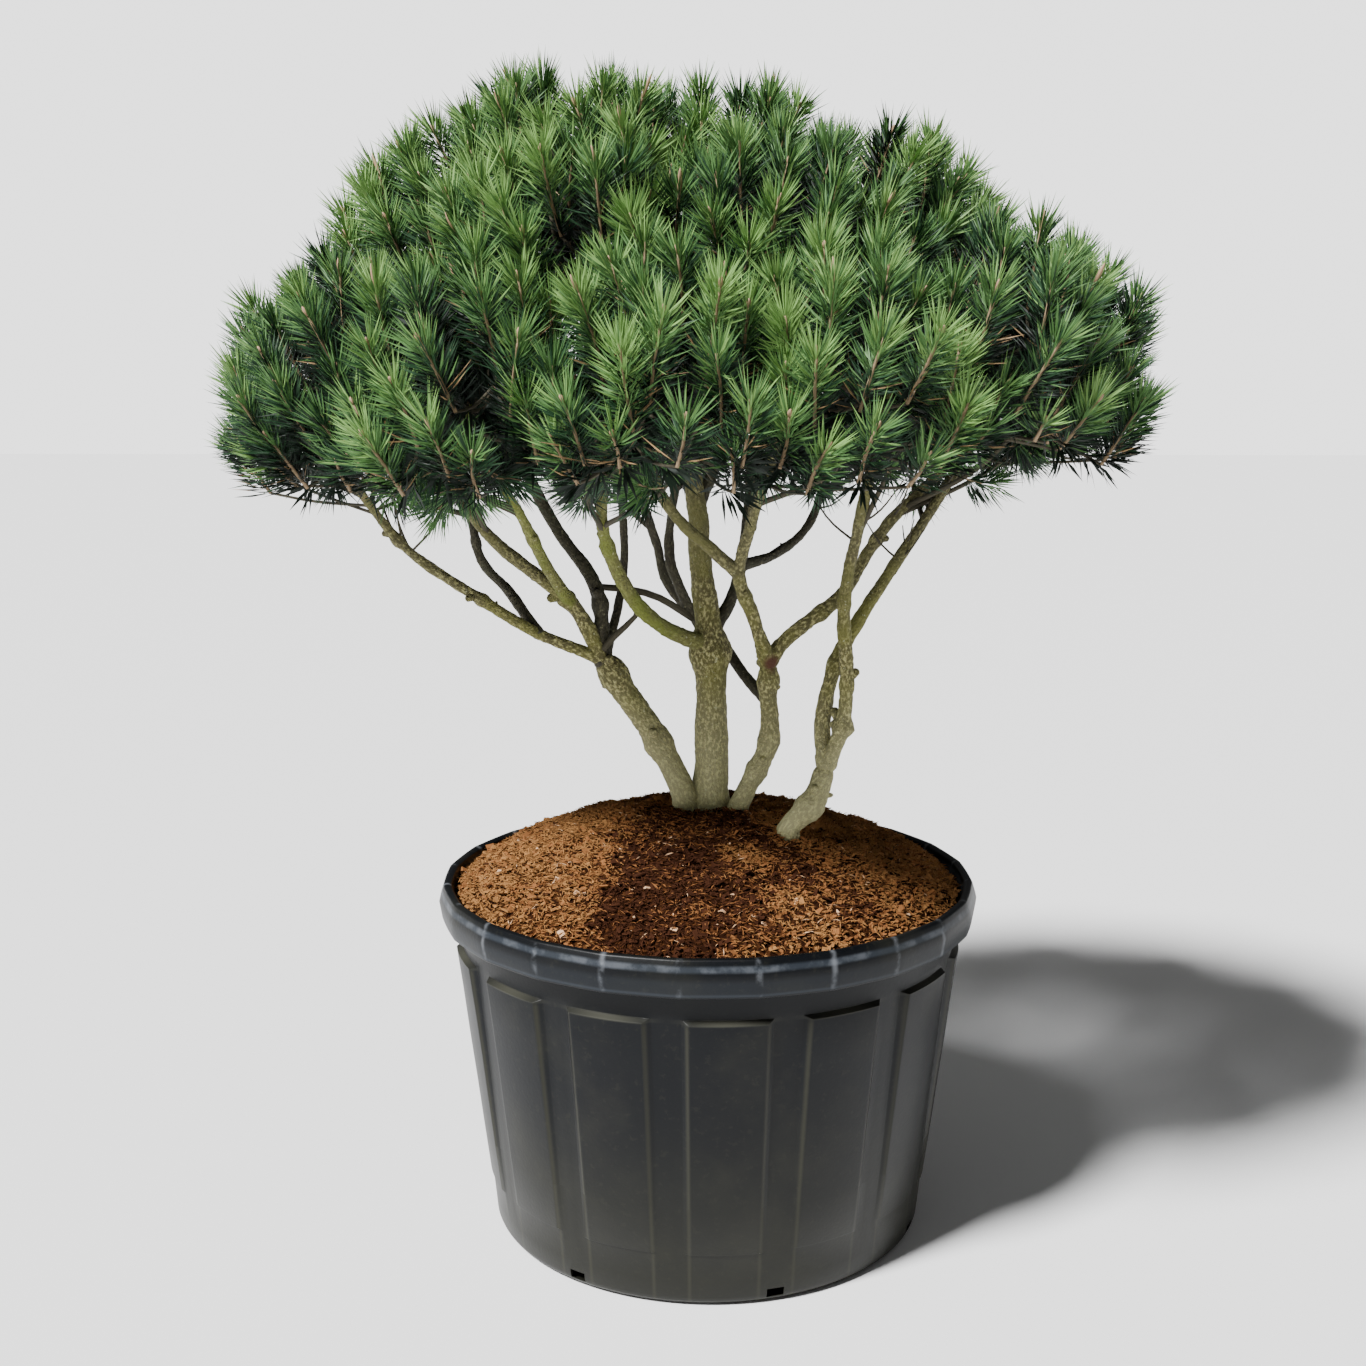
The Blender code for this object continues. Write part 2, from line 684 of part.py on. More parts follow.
def crown():
    """Every mass: in the two rings by azimuth, stretch of the ring there and lift, then the top."""
    outer = [
        ("needles_left", "bough_left_low", 180, 1.0, 0.0),
        ("needles_left_front", "bough_left_front", 208, 1.0, -0.01),
        ("needles_front_left", "bough_left_mossy", 238, 1.0, 0.0),
        ("needles_front", "bough_front_mossy", 268, 1.0, 0.0),
        ("needles_front_middle", "bough_middle_front", 294, 1.0, 0.01),
        ("needles_front_right", "bough_right_upright", 322, 1.0, 0.05),
        ("needles_right", "bough_middle_right", 352, 1.0, 0.01),
        ("needles_right_rear", "bough_right_low", 25, 1.0, 0.0),
        ("needles_rear_right", "bough_rear_right", 57, 1.0, -0.01),
        ("needles_rear", "bough_rear", 88, 1.0, 0.0),
        ("needles_rear_left", "bough_middle_rear", 120, 1.0, 0.01),
        ("needles_left_rear", "bough_left_rear", 150, 1.0, -0.01),
    ]
    inner = [
        ("needles_upper_left", "bough_upper_left", 180, 1.05, 0.02),
        ("needles_upper_front_left", "bough_crossing", 240, 1.0, -0.01),
        ("needles_upper_front_right", "bough_upper_front", 300, 1.0, -0.01),
        ("needles_upper_right", "bough_upper_right", 0, 1.05, 0.02),
        ("needles_upper_rear_right", "bough_upper_rear_right", 60, 1.0, -0.01),
        ("needles_upper_rear_left", "bough_upper_rear_left", 120, 1.0, 0.0),
    ]
    top = [
        Mass("needles_top_left", "trunk", (-0.18, -0.06, 1.59), TOP_REACH, TOP_TUFT_PLACES),
        Mass("needles_top_right", "bough_leader", (0.02, 0.06, 1.59), TOP_REACH, TOP_TUFT_PLACES),
    ]
    outer_masses = ring_masses(outer, CROWN_CENTRE, OUTER_RING, OUTER_HEIGHT, OUTER_REACH)
    inner_masses = ring_masses(inner, INNER_RING_CENTRE, INNER_RING, INNER_HEIGHT, INNER_REACH)
    return outer_masses + inner_masses + top


def stems_and_boughs():
    """Every limb in the order it grows: parent, place along it, bends on the way, tip, radii, knobs."""
    plain, mossy, dark = "bark", "mossy_bark", "dark_bark"
    return [
        Limb("trunk", None, (0.004, 0.0),
             [(0.006, 0.0, 0.76), (0.003, 0.0, 0.90), (-0.012, 0.0, 1.04), (-0.020, 0.0, 1.14),
              (-0.05, 0.0, 1.30)],
             (-0.12, 0.0, 1.43), (0.038, 0.029, 0.006), [(0.285, 1.2), (0.33, 1.3)], TRUNK_SIDES, plain),
        Limb("stem_left", None, (-0.032, -0.012),
             [(-0.046, -0.014, 0.70), (-0.084, -0.02, 0.775), (-0.127, -0.03, 0.844)],
             (-0.166, -0.04, 0.903), (0.024, 0.0195, 0.018), [(0.47, 1.2)], STEM_SIDES, plain),
        Limb("stem_middle", None, (0.046, -0.022),
             [(0.061, -0.024, 0.69), (0.092, -0.03, 0.76), (0.092, -0.03, 0.84)],
             (0.090, -0.038, 0.897), (0.018, 0.0145, 0.0135), [(0.35, 1.2), (0.55, 1.15)],
             STEM_SIDES, plain),
        Limb("stem_right", None, HEAP_PLACE,
             [(0.160, -0.092, 0.69)],
             (0.180, -0.082, 0.748), (0.019, 0.0165, 0.0165), [(0.55, 1.2)], STEM_SIDES, plain),
        Limb("bough_left_low", "stem_left", 0.96,
             [(-0.254, -0.07, 0.938), (-0.345, -0.10, 1.00), (-0.435, -0.12, 1.067), (-0.495, -0.115, 1.14)],
             (-0.55, -0.065, 1.205), (0.0095, 0.0055), [(0.42, 1.35), (0.70, 1.4)], BOUGH_SIDES, plain),
        Limb("bough_left_front", "stem_left", 0.96,
             [(-0.203, -0.06, 0.98), (-0.304, -0.12, 1.075), (-0.36, -0.16, 1.15)],
             (-0.435, -0.19, 1.225), (0.0125, 0.006), [(0.28, 1.3)], BOUGH_SIDES, plain),
        Limb("bough_upper_left", "stem_left", 0.96,
             [(-0.168, -0.03, 1.00), (-0.23, -0.01, 1.09), (-0.285, 0.0, 1.20), (-0.315, 0.005, 1.32)],
             (-0.33, 0.005, 1.43), (0.011, 0.006), [(0.17, 1.3)], BOUGH_SIDES, dark),
        Limb("bough_upper_rear_left", "stem_left", 0.96,
             [(-0.138, 0.01, 0.965), (-0.130, 0.06, 1.06), (-0.15, 0.12, 1.22)],
             (-0.185, 0.175, 1.41), (0.007, 0.005), [], BOUGH_SIDES, dark),
        Limb("bough_left_mossy", "bough_left_front", 0.22,
             [(-0.235, -0.14, 1.05), (-0.262, -0.22, 1.13)],
             (-0.305, -0.30, 1.215), (0.0095, 0.006), [(0.5, 1.2)], BOUGH_SIDES, mossy),
        Limb("bough_left_rear", "bough_left_low", 0.20,
             [(-0.30, -0.03, 0.995), (-0.345, 0.0, 1.04), (-0.370, 0.04, 1.12)],
             (-0.435, 0.15, 1.23), (0.008, 0.0055), [(0.45, 1.3)], BOUGH_SIDES, dark),
        Limb("bough_front_mossy", "trunk", 0.315,
             [(-0.065, -0.06, 0.945), (-0.114, -0.10, 1.00), (-0.148, -0.17, 1.10)],
             (-0.135, -0.35, 1.225), (0.0125, 0.0065), [(0.55, 1.25)], BOUGH_SIDES, mossy),
        Limb("bough_rear", "trunk", 0.325,
             [(-0.045, 0.06, 0.99), (-0.062, 0.12, 1.06)],
             (-0.040, 0.32, 1.225), (0.009, 0.006), [], BOUGH_SIDES, dark),
        Limb("bough_upper_rear_right", "trunk", 0.335,
             [(0.035, 0.03, 0.975), (0.055, 0.07, 1.05), (0.068, 0.12, 1.20)],
             (0.072, 0.165, 1.41), (0.010, 0.006), [], BOUGH_SIDES, dark),
        Limb("bough_rear_right", "bough_upper_rear_right", 0.24,
             [(0.105, 0.12, 1.035), (0.165, 0.20, 1.08)],
             (0.215, 0.30, 1.205), (0.008, 0.0055), [], BOUGH_SIDES, dark),
        Limb("bough_upper_right", "trunk", 0.58,
             [(0.02, 0.02, 1.20), (0.08, 0.02, 1.31)],
             (0.16, 0.01, 1.43), (0.009, 0.006), [], BOUGH_SIDES, dark),
        Limb("bough_leader", "trunk", 0.72,
             [(-0.03, -0.02, 1.36)],
             (-0.01, -0.01, 1.47), (0.008, 0.0055), [], BOUGH_SIDES, dark),
        Limb("bough_middle_right", "stem_middle", 0.97,
             [(0.125, -0.03, 0.93), (0.201, 0.0, 0.985), (0.245, 0.03, 1.05), (0.282, 0.04, 1.10),
              (0.368, 0.04, 1.185)],
             (0.430, 0.0, 1.265), (0.011, 0.0065), [(0.22, 1.25), (0.50, 1.35)], BOUGH_SIDES, plain),
        Limb("bough_middle_front", "stem_middle", 0.97,
             [(0.068, -0.075, 0.96), (0.045, -0.11, 1.03), (0.058, -0.16, 1.10)],
             (0.090, -0.31, 1.225), (0.011, 0.006), [(0.3, 1.2)], BOUGH_SIDES, plain),
        Limb("bough_crossing", "bough_middle_front", 0.38,
             [(0.005, -0.13, 1.07), (-0.06, -0.16, 1.14), (-0.105, -0.19, 1.27)],
             (-0.165, -0.19, 1.41), (0.009, 0.006), [], BOUGH_SIDES, plain),
        Limb("bough_upper_front", "bough_middle_front", 0.58,
             [(0.070, -0.19, 1.18), (0.070, -0.20, 1.29)],
             (0.078, -0.195, 1.40), (0.007, 0.0055), [], BOUGH_SIDES, plain),
        Limb("bough_middle_rear", "stem_middle", 0.72,
             [(0.055, 0.02, 0.86), (0.010, 0.060, 0.92), (-0.060, 0.085, 0.985), (-0.085, 0.12, 1.06),
              (-0.12, 0.19, 1.13)],
             (-0.225, 0.30, 1.235), (0.0085, 0.0055), [], BOUGH_SIDES, dark),
        Limb("bough_right_low", "stem_right", 0.95,
             [(0.172, -0.065, 0.80), (0.188, -0.06, 0.88), (0.225, -0.045, 0.955), (0.335, 0.02, 1.11)],
             (0.415, 0.105, 1.225), (0.0125, 0.0065), [(0.28, 1.2)], BOUGH_SIDES, plain),
        Limb("bough_right_upright", "stem_right", 0.95,
             [(0.200, -0.09, 0.80), (0.205, -0.10, 0.88), (0.198, -0.115, 0.99), (0.219, -0.15, 1.13)],
             (0.250, -0.225, 1.305), (0.0115, 0.0065), [(0.13, 1.4), (0.24, 1.3), (0.45, 1.2)],
             BOUGH_SIDES, plain),
    ]


def main():
    clear_scene()
    plant = new_collection("potted_mugo_pine")
    cutters = new_collection("cutters")
    build_tub(plant, cutters)
    build_soil(plant)
    materials = {
        "bark": new_material("bark", BARK, 0.9),
        "mossy_bark": new_material("mossy_bark", MOSSY_BARK, 0.9),
        "dark_bark": new_material("dark_bark", DARK_BARK, 0.9),
    }
    masses = crown()
    shapes = build_limbs(stems_and_boughs(), masses, materials, plant)
    needles = new_material("needles", NEEDLES, 0.6)
    segments = limb_segments(shapes)
    for mass in masses:
        build_mass(mass, shapes[mass.bough], Cell(mass, masses, segments), needles, plant)


main()
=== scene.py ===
# %% [markdown]
# # A potted mugo pine
#
# A mugo pine stands in a black nursery tub of ribbed plastic, filled with bark mulch. Its bare crooked
# stems spread upwards and carry a broad dome of needles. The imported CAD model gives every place: this
# script loads it as a fixed frame, and grows the finished plant on it in Blender.
#
# All lengths are metres, +Z is up, and the viewer of the photograph stands at -Y. The pieces come in
# this order: the tub, the mulch, the stems and boughs, the twigs, the needles and the buds.

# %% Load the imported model
import json
import math
import random
from collections import namedtuple

import bmesh
import bpy
import numpy as np
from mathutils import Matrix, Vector, noise

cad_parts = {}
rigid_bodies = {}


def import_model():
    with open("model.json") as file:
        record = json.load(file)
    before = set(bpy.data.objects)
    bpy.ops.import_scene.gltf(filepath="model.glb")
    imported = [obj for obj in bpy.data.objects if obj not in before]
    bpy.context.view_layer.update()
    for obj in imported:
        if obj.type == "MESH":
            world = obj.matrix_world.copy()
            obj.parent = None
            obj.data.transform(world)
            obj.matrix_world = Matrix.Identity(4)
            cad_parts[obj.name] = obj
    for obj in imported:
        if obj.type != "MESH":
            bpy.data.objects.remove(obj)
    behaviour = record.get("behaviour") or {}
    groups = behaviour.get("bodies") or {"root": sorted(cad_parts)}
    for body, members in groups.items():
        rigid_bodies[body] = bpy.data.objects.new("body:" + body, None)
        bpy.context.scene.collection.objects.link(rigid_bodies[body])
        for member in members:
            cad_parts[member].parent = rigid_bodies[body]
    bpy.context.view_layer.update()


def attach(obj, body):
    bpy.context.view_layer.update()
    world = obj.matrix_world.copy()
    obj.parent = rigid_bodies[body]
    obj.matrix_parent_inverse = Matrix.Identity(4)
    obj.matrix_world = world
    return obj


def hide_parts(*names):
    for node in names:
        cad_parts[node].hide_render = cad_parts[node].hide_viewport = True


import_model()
GOLDEN_ANGLE = math.pi * (3.0 - math.sqrt(5.0))

# %% [markdown]
# ## Camera, floor and light
#
# The camera was fitted to the ellipses of the tub's lip and foot: it stands a little under three metres
# away at the height of the crown, and looks down by eleven degrees. A product photograph like this has
# broad light from the front, above and to the left. A sun with a wide, soft-edged disc gives it, and
# lights the whole floor evenly. A weak area light, low on the same side, reaches under the crown. The
# world is a pale backdrop that gives little light itself, so the gaps between the shoots stay dark.

# %% Camera
CAMERA_PLACE = (0.006, -2.7, 1.36)
CAMERA_TILT = math.radians(90.0 - 10.7)
CAMERA_TURN = math.radians(0.94)
PHOTO_SIDE = 1366.0
FOCAL_PIXELS = 1791.0
SENSOR_WIDTH = 36.0

camera_data = bpy.data.cameras.new("photo_camera")
camera_data.sensor_width = SENSOR_WIDTH
camera_data.lens = FOCAL_PIXELS / PHOTO_SIDE * SENSOR_WIDTH
camera = bpy.data.objects.new("photo_camera", camera_data)
camera.location = CAMERA_PLACE
camera.rotation_euler = (CAMERA_TILT, 0.0, CAMERA_TURN)
bpy.context.scene.collection.objects.link(camera)
bpy.context.scene.camera = camera
print("camera lens", round(camera_data.lens, 1), "mm")


# %% Lights and floor
def add_light(name, kind, place, aim, strength):
    """A light at a place, turned towards a point; gives its settings."""
    data = bpy.data.lights.new(name, kind)
    data.energy = strength
    light = bpy.data.objects.new(name, data)
    light.location = place
    light.rotation_euler = (Vector(aim) - Vector(place)).to_track_quat("-Z", "Y").to_euler()
    bpy.context.scene.collection.objects.link(light)
    return data


KEY_PLACE = (-2.3, -2.2, 4.9)
KEY_STRENGTH = 9.8
KEY_SOFTNESS = math.radians(11.0)
FILL_PLACE = (-2.9, -2.3, 0.9)
FILL_WATTS = 9.0
FILL_SIZE = 1.2
CROWN_MIDDLE = (0.0, 0.0, 1.1)
STEM_MIDDLE = (0.0, 0.0, 0.85)
WORLD_LIGHT = 0.13
WORLD_SEEN = 2.4
FLOOR_SIZE = 40.0
FLOOR_TONE = (0.9, 0.9, 0.9, 1.0)

key_light = add_light("key_light", "SUN", KEY_PLACE, CROWN_MIDDLE, KEY_STRENGTH)
key_light.angle = KEY_SOFTNESS
fill_light = add_light("fill_light", "AREA", FILL_PLACE, STEM_MIDDLE, FILL_WATTS)
fill_light.size = FILL_SIZE

world = bpy.data.worlds.new("pale_studio")
world.use_nodes = True
world_tree = world.node_tree
backdrop = world_tree.nodes["Background"]
backdrop.inputs["Color"].default_value = (1.0, 1.0, 1.0, 1.0)
rays = world_tree.nodes.new("ShaderNodeLightPath")
brightness = world_tree.nodes.new("ShaderNodeMapRange")
brightness.inputs["To Min"].default_value = WORLD_LIGHT
brightness.inputs["To Max"].default_value = WORLD_SEEN
world_tree.links.new(rays.outputs["Is Camera Ray"], brightness.inputs["Value"])
world_tree.links.new(brightness.outputs["Result"], backdrop.inputs["Strength"])
bpy.context.scene.world = world

bpy.ops.object.select_all(action="DESELECT")
bpy.ops.mesh.primitive_plane_add(size=FLOOR_SIZE, location=(0.0, 0.0, -0.001))
floor = bpy.context.object
floor.name = "floor"
floor_material = bpy.data.materials.new("floor")
floor_material.use_nodes = True
floor_shader = floor_material.node_tree.nodes["Principled BSDF"]
floor_shader.inputs["Base Color"].default_value = FLOOR_TONE
floor_shader.inputs["Roughness"].default_value = 0.9
floor.data.materials.append(floor_material)

# %% [markdown]
# ## Shared finishes
#
# Nothing on a grown plant or a used tub has one even colour. Two effects come back in several materials:
# soft blotches, for dust, damp and moss, and a fine grain that catches the light. Each is a node group,
# built once. It reads Object coordinates, so its pattern stays put on the piece. On the limbs a second
# pair reads the place along the limb instead, so the pattern is drawn out the way the wood grew.


# %% Node helpers
LIMB_PLACE = "limb_place"


def new_group(name, inputs, outputs):
    """An empty shader node group with float sockets: inputs as name and value, outputs as names."""
    group = bpy.data.node_groups.new(name, "ShaderNodeTree")
    for label, value in inputs:
        socket = group.interface.new_socket(label, in_out="INPUT", socket_type="NodeSocketFloat")
        socket.default_value = value
    for label in outputs:
        group.interface.new_socket(label, in_out="OUTPUT", socket_type="NodeSocketFloat")
    return group


def add_node(tree, kind, **settings):
    """A new node of a kind, with its settings."""
    node = tree.nodes.new(kind)
    for key, value in settings.items():
        setattr(node, key, value)
    return node


def place_socket(tree, along_limb):
    """The coordinates a pattern is laid out in: the piece's own, or those along a limb."""
    if along_limb:
        return add_node(tree, "ShaderNodeAttribute", attribute_name=LIMB_PLACE).outputs["Vector"]
    return add_node(tree, "ShaderNodeTexCoord").outputs["Object"]


def cloud_node(tree, group_in, along_limb, detail):
    """A noise whose features have the size given to the group."""
    scale = add_node(tree, "ShaderNodeMath", operation="DIVIDE")
    scale.inputs[0].default_value = 1.0
    cloud = add_node(tree, "ShaderNodeTexNoise")
    cloud.inputs["Detail"].default_value = detail
    cloud.inputs["Roughness"].default_value = 0.6
    tree.links.new(group_in.outputs["Size"], scale.inputs[1])
    tree.links.new(place_socket(tree, along_limb), cloud.inputs["Vector"])
    tree.links.new(scale.outputs[0], cloud.inputs["Scale"])
    return cloud


# %% Blotches: a mask with soft edges
def blotch_group(name, along_limb):
    """A mask of soft-edged blotches, with their size, the share that they cover and their edge."""
    group = new_group(name, [("Size", 0.1), ("Cover", 0.5), ("Softness", 0.1)], ["Mask"])
    group_in = add_node(group, "NodeGroupInput")
    group_out = add_node(group, "NodeGroupOutput")
    cloud = cloud_node(group, group_in, along_limb, 5.0)
    low = add_node(group, "ShaderNodeMath", operation="SUBTRACT")
    low.inputs[0].default_value = 1.0
    high = add_node(group, "ShaderNodeMath", operation="ADD")
    edge = add_node(group, "ShaderNodeMapRange", interpolation_type="SMOOTHSTEP")
    group.links.new(group_in.outputs["Cover"], low.inputs[1])
    group.links.new(low.outputs[0], high.inputs[0])
    group.links.new(group_in.outputs["Softness"], high.inputs[1])
    group.links.new(cloud.outputs["Fac"], edge.inputs["Value"])
    group.links.new(low.outputs[0], edge.inputs["From Min"])
    group.links.new(high.outputs[0], edge.inputs["From Max"])
    group.links.new(edge.outputs["Result"], group_out.inputs["Mask"])
    return group


def grain_group(name, along_limb):
    """The height of a fine rough surface."""
    group = new_group(name, [("Size", 0.004)], ["Height"])
    group_in = add_node(group, "NodeGroupInput")
    group_out = add_node(group, "NodeGroupOutput")
    cloud = cloud_node(group, group_in, along_limb, 3.0)
    group.links.new(cloud.outputs["Fac"], group_out.inputs["Height"])
    return group


blotches = blotch_group("blotches", False)
limb_blotches = blotch_group("limb_blotches", True)
grain = grain_group("grain", False)
limb_grain = grain_group("limb_grain", True)
print("node groups", [group.name for group in bpy.data.node_groups])


# %% Materials from the groups
def plain_material(name, colour, roughness):
    """One even colour: a start for the large pieces, and enough for the many small ones."""
    material = bpy.data.materials.new(name)
    material.use_nodes = True
    shader = material.node_tree.nodes["Principled BSDF"]
    shader.inputs["Base Color"].default_value = (*colour, 1.0)
    shader.inputs["Roughness"].default_value = roughness
    return material


def add_group(material, group, **values):
    """Places a node group in a material and sets its inputs."""
    node = add_node(material.node_tree, "ShaderNodeGroup", node_tree=group)
    for label, value in values.items():
        node.inputs[label].default_value = value
    return node


def mix_over(material, below, above, mask):
    """Lays a colour over what is below it where the mask is one; gives the new colour's socket."""
    mix = add_node(material.node_tree, "ShaderNodeMix", data_type="RGBA")
    for socket, colour in ((mix.inputs["A"], below), (mix.inputs["B"], above)):
        if isinstance(colour, tuple):
            socket.default_value = (*colour, 1.0)
        else:
            material.node_tree.links.new(colour, socket)
    material.node_tree.links.new(mask, mix.inputs["Factor"])
    return mix.outputs["Result"]


def times(material, first, second):
    """The product of two masks, or of a mask and a number."""
    node = add_node(material.node_tree, "ShaderNodeMath", operation="MULTIPLY")
    for socket, value in zip(node.inputs, (first, second)):
        if isinstance(value, float):
            socket.default_value = value
        else:
            material.node_tree.links.new(value, socket)
    return node.outputs[0]


def height_mask(material, low, high):
    """A mask that grows from nought to one between two heights."""
    tree = material.node_tree
    coordinates = add_node(tree, "ShaderNodeTexCoord")
    parts = add_node(tree, "ShaderNodeSeparateXYZ")
    ramp = add_node(tree, "ShaderNodeMapRange", interpolation_type="SMOOTHSTEP")
    ramp.inputs["From Min"].default_value = low
    ramp.inputs["From Max"].default_value = high
    tree.links.new(coordinates.outputs["Object"], parts.inputs["Vector"])
    tree.links.new(parts.outputs["Z"], ramp.inputs["Value"])
    return ramp.outputs["Result"]


def spot_mask(material, centre, radius):
    """A mask that is one at a point and falls to nought at a distance from it."""
    tree = material.node_tree
    coordinates = add_node(tree, "ShaderNodeTexCoord")
    distance = add_node(tree, "ShaderNodeVectorMath", operation="DISTANCE")
    distance.inputs[1].default_value = centre
    ramp = add_node(tree, "ShaderNodeMapRange", interpolation_type="SMOOTHSTEP")
    ramp.inputs["From Min"].default_value = radius
    ramp.inputs["From Max"].default_value = radius * 0.4
    tree.links.new(coordinates.outputs["Object"], distance.inputs[0])
    tree.links.new(distance.outputs["Value"], ramp.inputs["Value"])
    return ramp.outputs["Result"]


def layer(material, below, above, mask, share):
    """Lays a colour over what is below it, thinned to a share of the mask."""
    return mix_over(material, below, above, times(material, mask, share))


def add_bump(material, height, distance, strength):
    """Bump from a height, put on the shader's Normal."""
    bump = add_node(material.node_tree, "ShaderNodeBump")
    bump.inputs["Distance"].default_value = distance
    bump.inputs["Strength"].default_value = strength
    material.node_tree.links.new(height, bump.inputs["Height"])
    shader = material.node_tree.nodes["Principled BSDF"]
    material.node_tree.links.new(bump.outputs["Normal"], shader.inputs["Normal"])


def set_colour(material, colour):
    """Puts the finished colour on the shader."""
    shader = material.node_tree.nodes["Principled BSDF"]
    material.node_tree.links.new(colour, shader.inputs["Base Color"])


def set_shine(material, level):
    """How strongly the surface mirrors its surroundings; 0.5 is the usual."""
    material.node_tree.nodes["Principled BSDF"].inputs["Specular IOR Level"].default_value = level


# %% [markdown]
# ## The tub
#
# A nursery tub is one thin moulding: a tapering wall with shallow raised panels that stiffen it, a plain
# band above them, and a thick rolled lip to lift it by. It starts as a circle at the foot, which is
# extruded up the outside and down the inside ring by ring, as one would do by hand. Enough columns are
# cut for each panel's side walls to fall on an edge loop.

# %% Sizes of the tub
TUB_HEIGHT = 0.549
TUB_WALL = 0.004
TUB_FLOOR = 0.006
FOOT_RADIUS = 0.335
BAND_RADIUS = 0.382
PANELS = 14
PITCH_COLUMNS = 12
PANEL_COLUMNS = 9
COLUMNS = PANELS * PITCH_COLUMNS
FRONT_PANEL_TURN = math.radians(4.5)
PANEL_FOOT = 0.085
PANEL_TOP = 0.452
PANEL_ROWS = (PANEL_FOOT, 0.16, 0.235, 0.31, 0.385, PANEL_TOP)
RELIEF_FOOT = 0.003
RELIEF_TOP = 0.010
LIP_RADIUS = 0.417
LIP_CREST = 0.406
LIP_MOUTH = 0.396
LIP_FOOT = TUB_HEIGHT - 0.055
COLUMN_TURN = math.tau / COLUMNS
TUB_START = -math.pi / 2.0 + FRONT_PANEL_TURN - PANEL_COLUMNS / 2.0 * COLUMN_TURN


def wall_radius(z):
    """The tub's plain wall at a height."""
    return FOOT_RADIUS + (BAND_RADIUS - FOOT_RADIUS) * z / PANEL_TOP


tub_profile = [(0.321, 0.0), (0.3285, 0.0025), (0.3335, 0.007), (wall_radius(0.014), 0.014)]
tub_profile += [(wall_radius(z), z) for z in (0.04, *PANEL_ROWS)]
tub_profile += [(wall_radius(z), z) for z in (0.462, 0.478, LIP_FOOT + 0.003)]
tub_profile += [
    (LIP_RADIUS - 0.006, LIP_FOOT - 0.001),
    (LIP_RADIUS - 0.0045, LIP_FOOT + 0.001),
    (LIP_RADIUS, TUB_HEIGHT - 0.027),
    (LIP_RADIUS - 0.002, TUB_HEIGHT - 0.018),
    (LIP_CREST + 0.004, TUB_HEIGHT - 0.002),
    (LIP_CREST + 0.001, TUB_HEIGHT),
    (LIP_CREST - 0.004, TUB_HEIGHT),
    (LIP_MOUTH + 0.0015, TUB_HEIGHT - 0.003),
    (LIP_MOUTH, TUB_HEIGHT - 0.009),
]
tub_profile += [(wall_radius(z) - TUB_WALL, z) for z in (LIP_FOOT, 0.30, 0.15, TUB_FLOOR)]


# %% Helpers for work in edit mode
def begin_edit():
    """Goes into edit mode on the active piece."""
    bpy.ops.object.mode_set(mode="EDIT")


def end_edit():
    """Goes back to object mode."""
    bpy.ops.object.mode_set(mode="OBJECT")


def pick_verts(test):
    """Selects the vertices that pass a test of their place."""
    mesh = bpy.context.object.data
    bm = bmesh.from_edit_mesh(mesh)
    bpy.ops.mesh.select_mode(type="VERT")
    bpy.ops.mesh.select_all(action="DESELECT")
    for vert in bm.verts:
        vert.select_set(test(vert.co))
    bm.select_flush_mode()
    bmesh.update_edit_mesh(mesh)


def pick_faces(test):
    """Selects the faces that pass a test of their centre and normal."""
    mesh = bpy.context.object.data
    bm = bmesh.from_edit_mesh(mesh)
    bpy.ops.mesh.select_mode(type="FACE")
    bpy.ops.mesh.select_all(action="DESELECT")
    for face in bm.faces:
        face.select_set(test(face.calc_center_median(), face.normal))
    bm.select_flush_mode()
    bmesh.update_edit_mesh(mesh)


def extrude_rings(profile):
    """Extrudes the selected ring through each further (radius, height) of a profile."""
    for (radius, height), (next_radius, next_height) in zip(profile, profile[1:]):
        step = (0.0, 0.0, next_height - height)
        bpy.ops.mesh.extrude_region_move(TRANSFORM_OT_translate={"value": step})
        share = next_radius / radius
        bpy.ops.transform.resize(value=(share, share, 1.0), center_override=(0.0, 0.0, 0.0))


def cap_ring(radius, height):
    """Closes the ring at a radius and height with one face."""
    pick_verts(lambda co: abs(co.z - height) < 0.0002 and abs(math.hypot(co.x, co.y) - radius) < 0.0005)
    bpy.ops.mesh.edge_face_add()


# %% Raise the wall from the foot
bpy.ops.object.select_all(action="DESELECT")
bpy.ops.mesh.primitive_circle_add(vertices=COLUMNS, radius=tub_profile[0][0], rotation=(0.0, 0.0, TUB_START))
tub = bpy.context.object
tub.name = "tub_shell"
bpy.ops.object.transform_apply(location=True, rotation=True, scale=True)
begin_edit()
bpy.ops.mesh.select_all(action="SELECT")
extrude_rings(tub_profile)
cap_ring(*tub_profile[0])
cap_ring(*tub_profile[-1])
bpy.ops.mesh.select_all(action="SELECT")
bpy.ops.mesh.normals_make_consistent(inside=False)
print("tub wall", len(bmesh.from_edit_mesh(tub.data).faces), "faces before the panels")


# %% Raise the panels
def column_of(x, y):
    """How many columns round from the first panel's edge a point lies, within one pitch."""
    return (math.atan2(y, x) - TUB_START) / COLUMN_TURN % PITCH_COLUMNS


def on_panel(centre, normal):
    """Whether a face is on the outside of the wall where a panel rises."""
    outside = centre.x * normal.x + centre.y * normal.y > 0.0
    return outside and PANEL_FOOT < centre.z < PANEL_TOP and column_of(centre.x, centre.y) < PANEL_COLUMNS


def is_raised(co):
    """Whether a point stands out from the plain wall."""
    return PANEL_FOOT - 0.01 < co.z < PANEL_TOP + 0.01 and math.hypot(co.x, co.y) > wall_radius(co.z) + 0.002


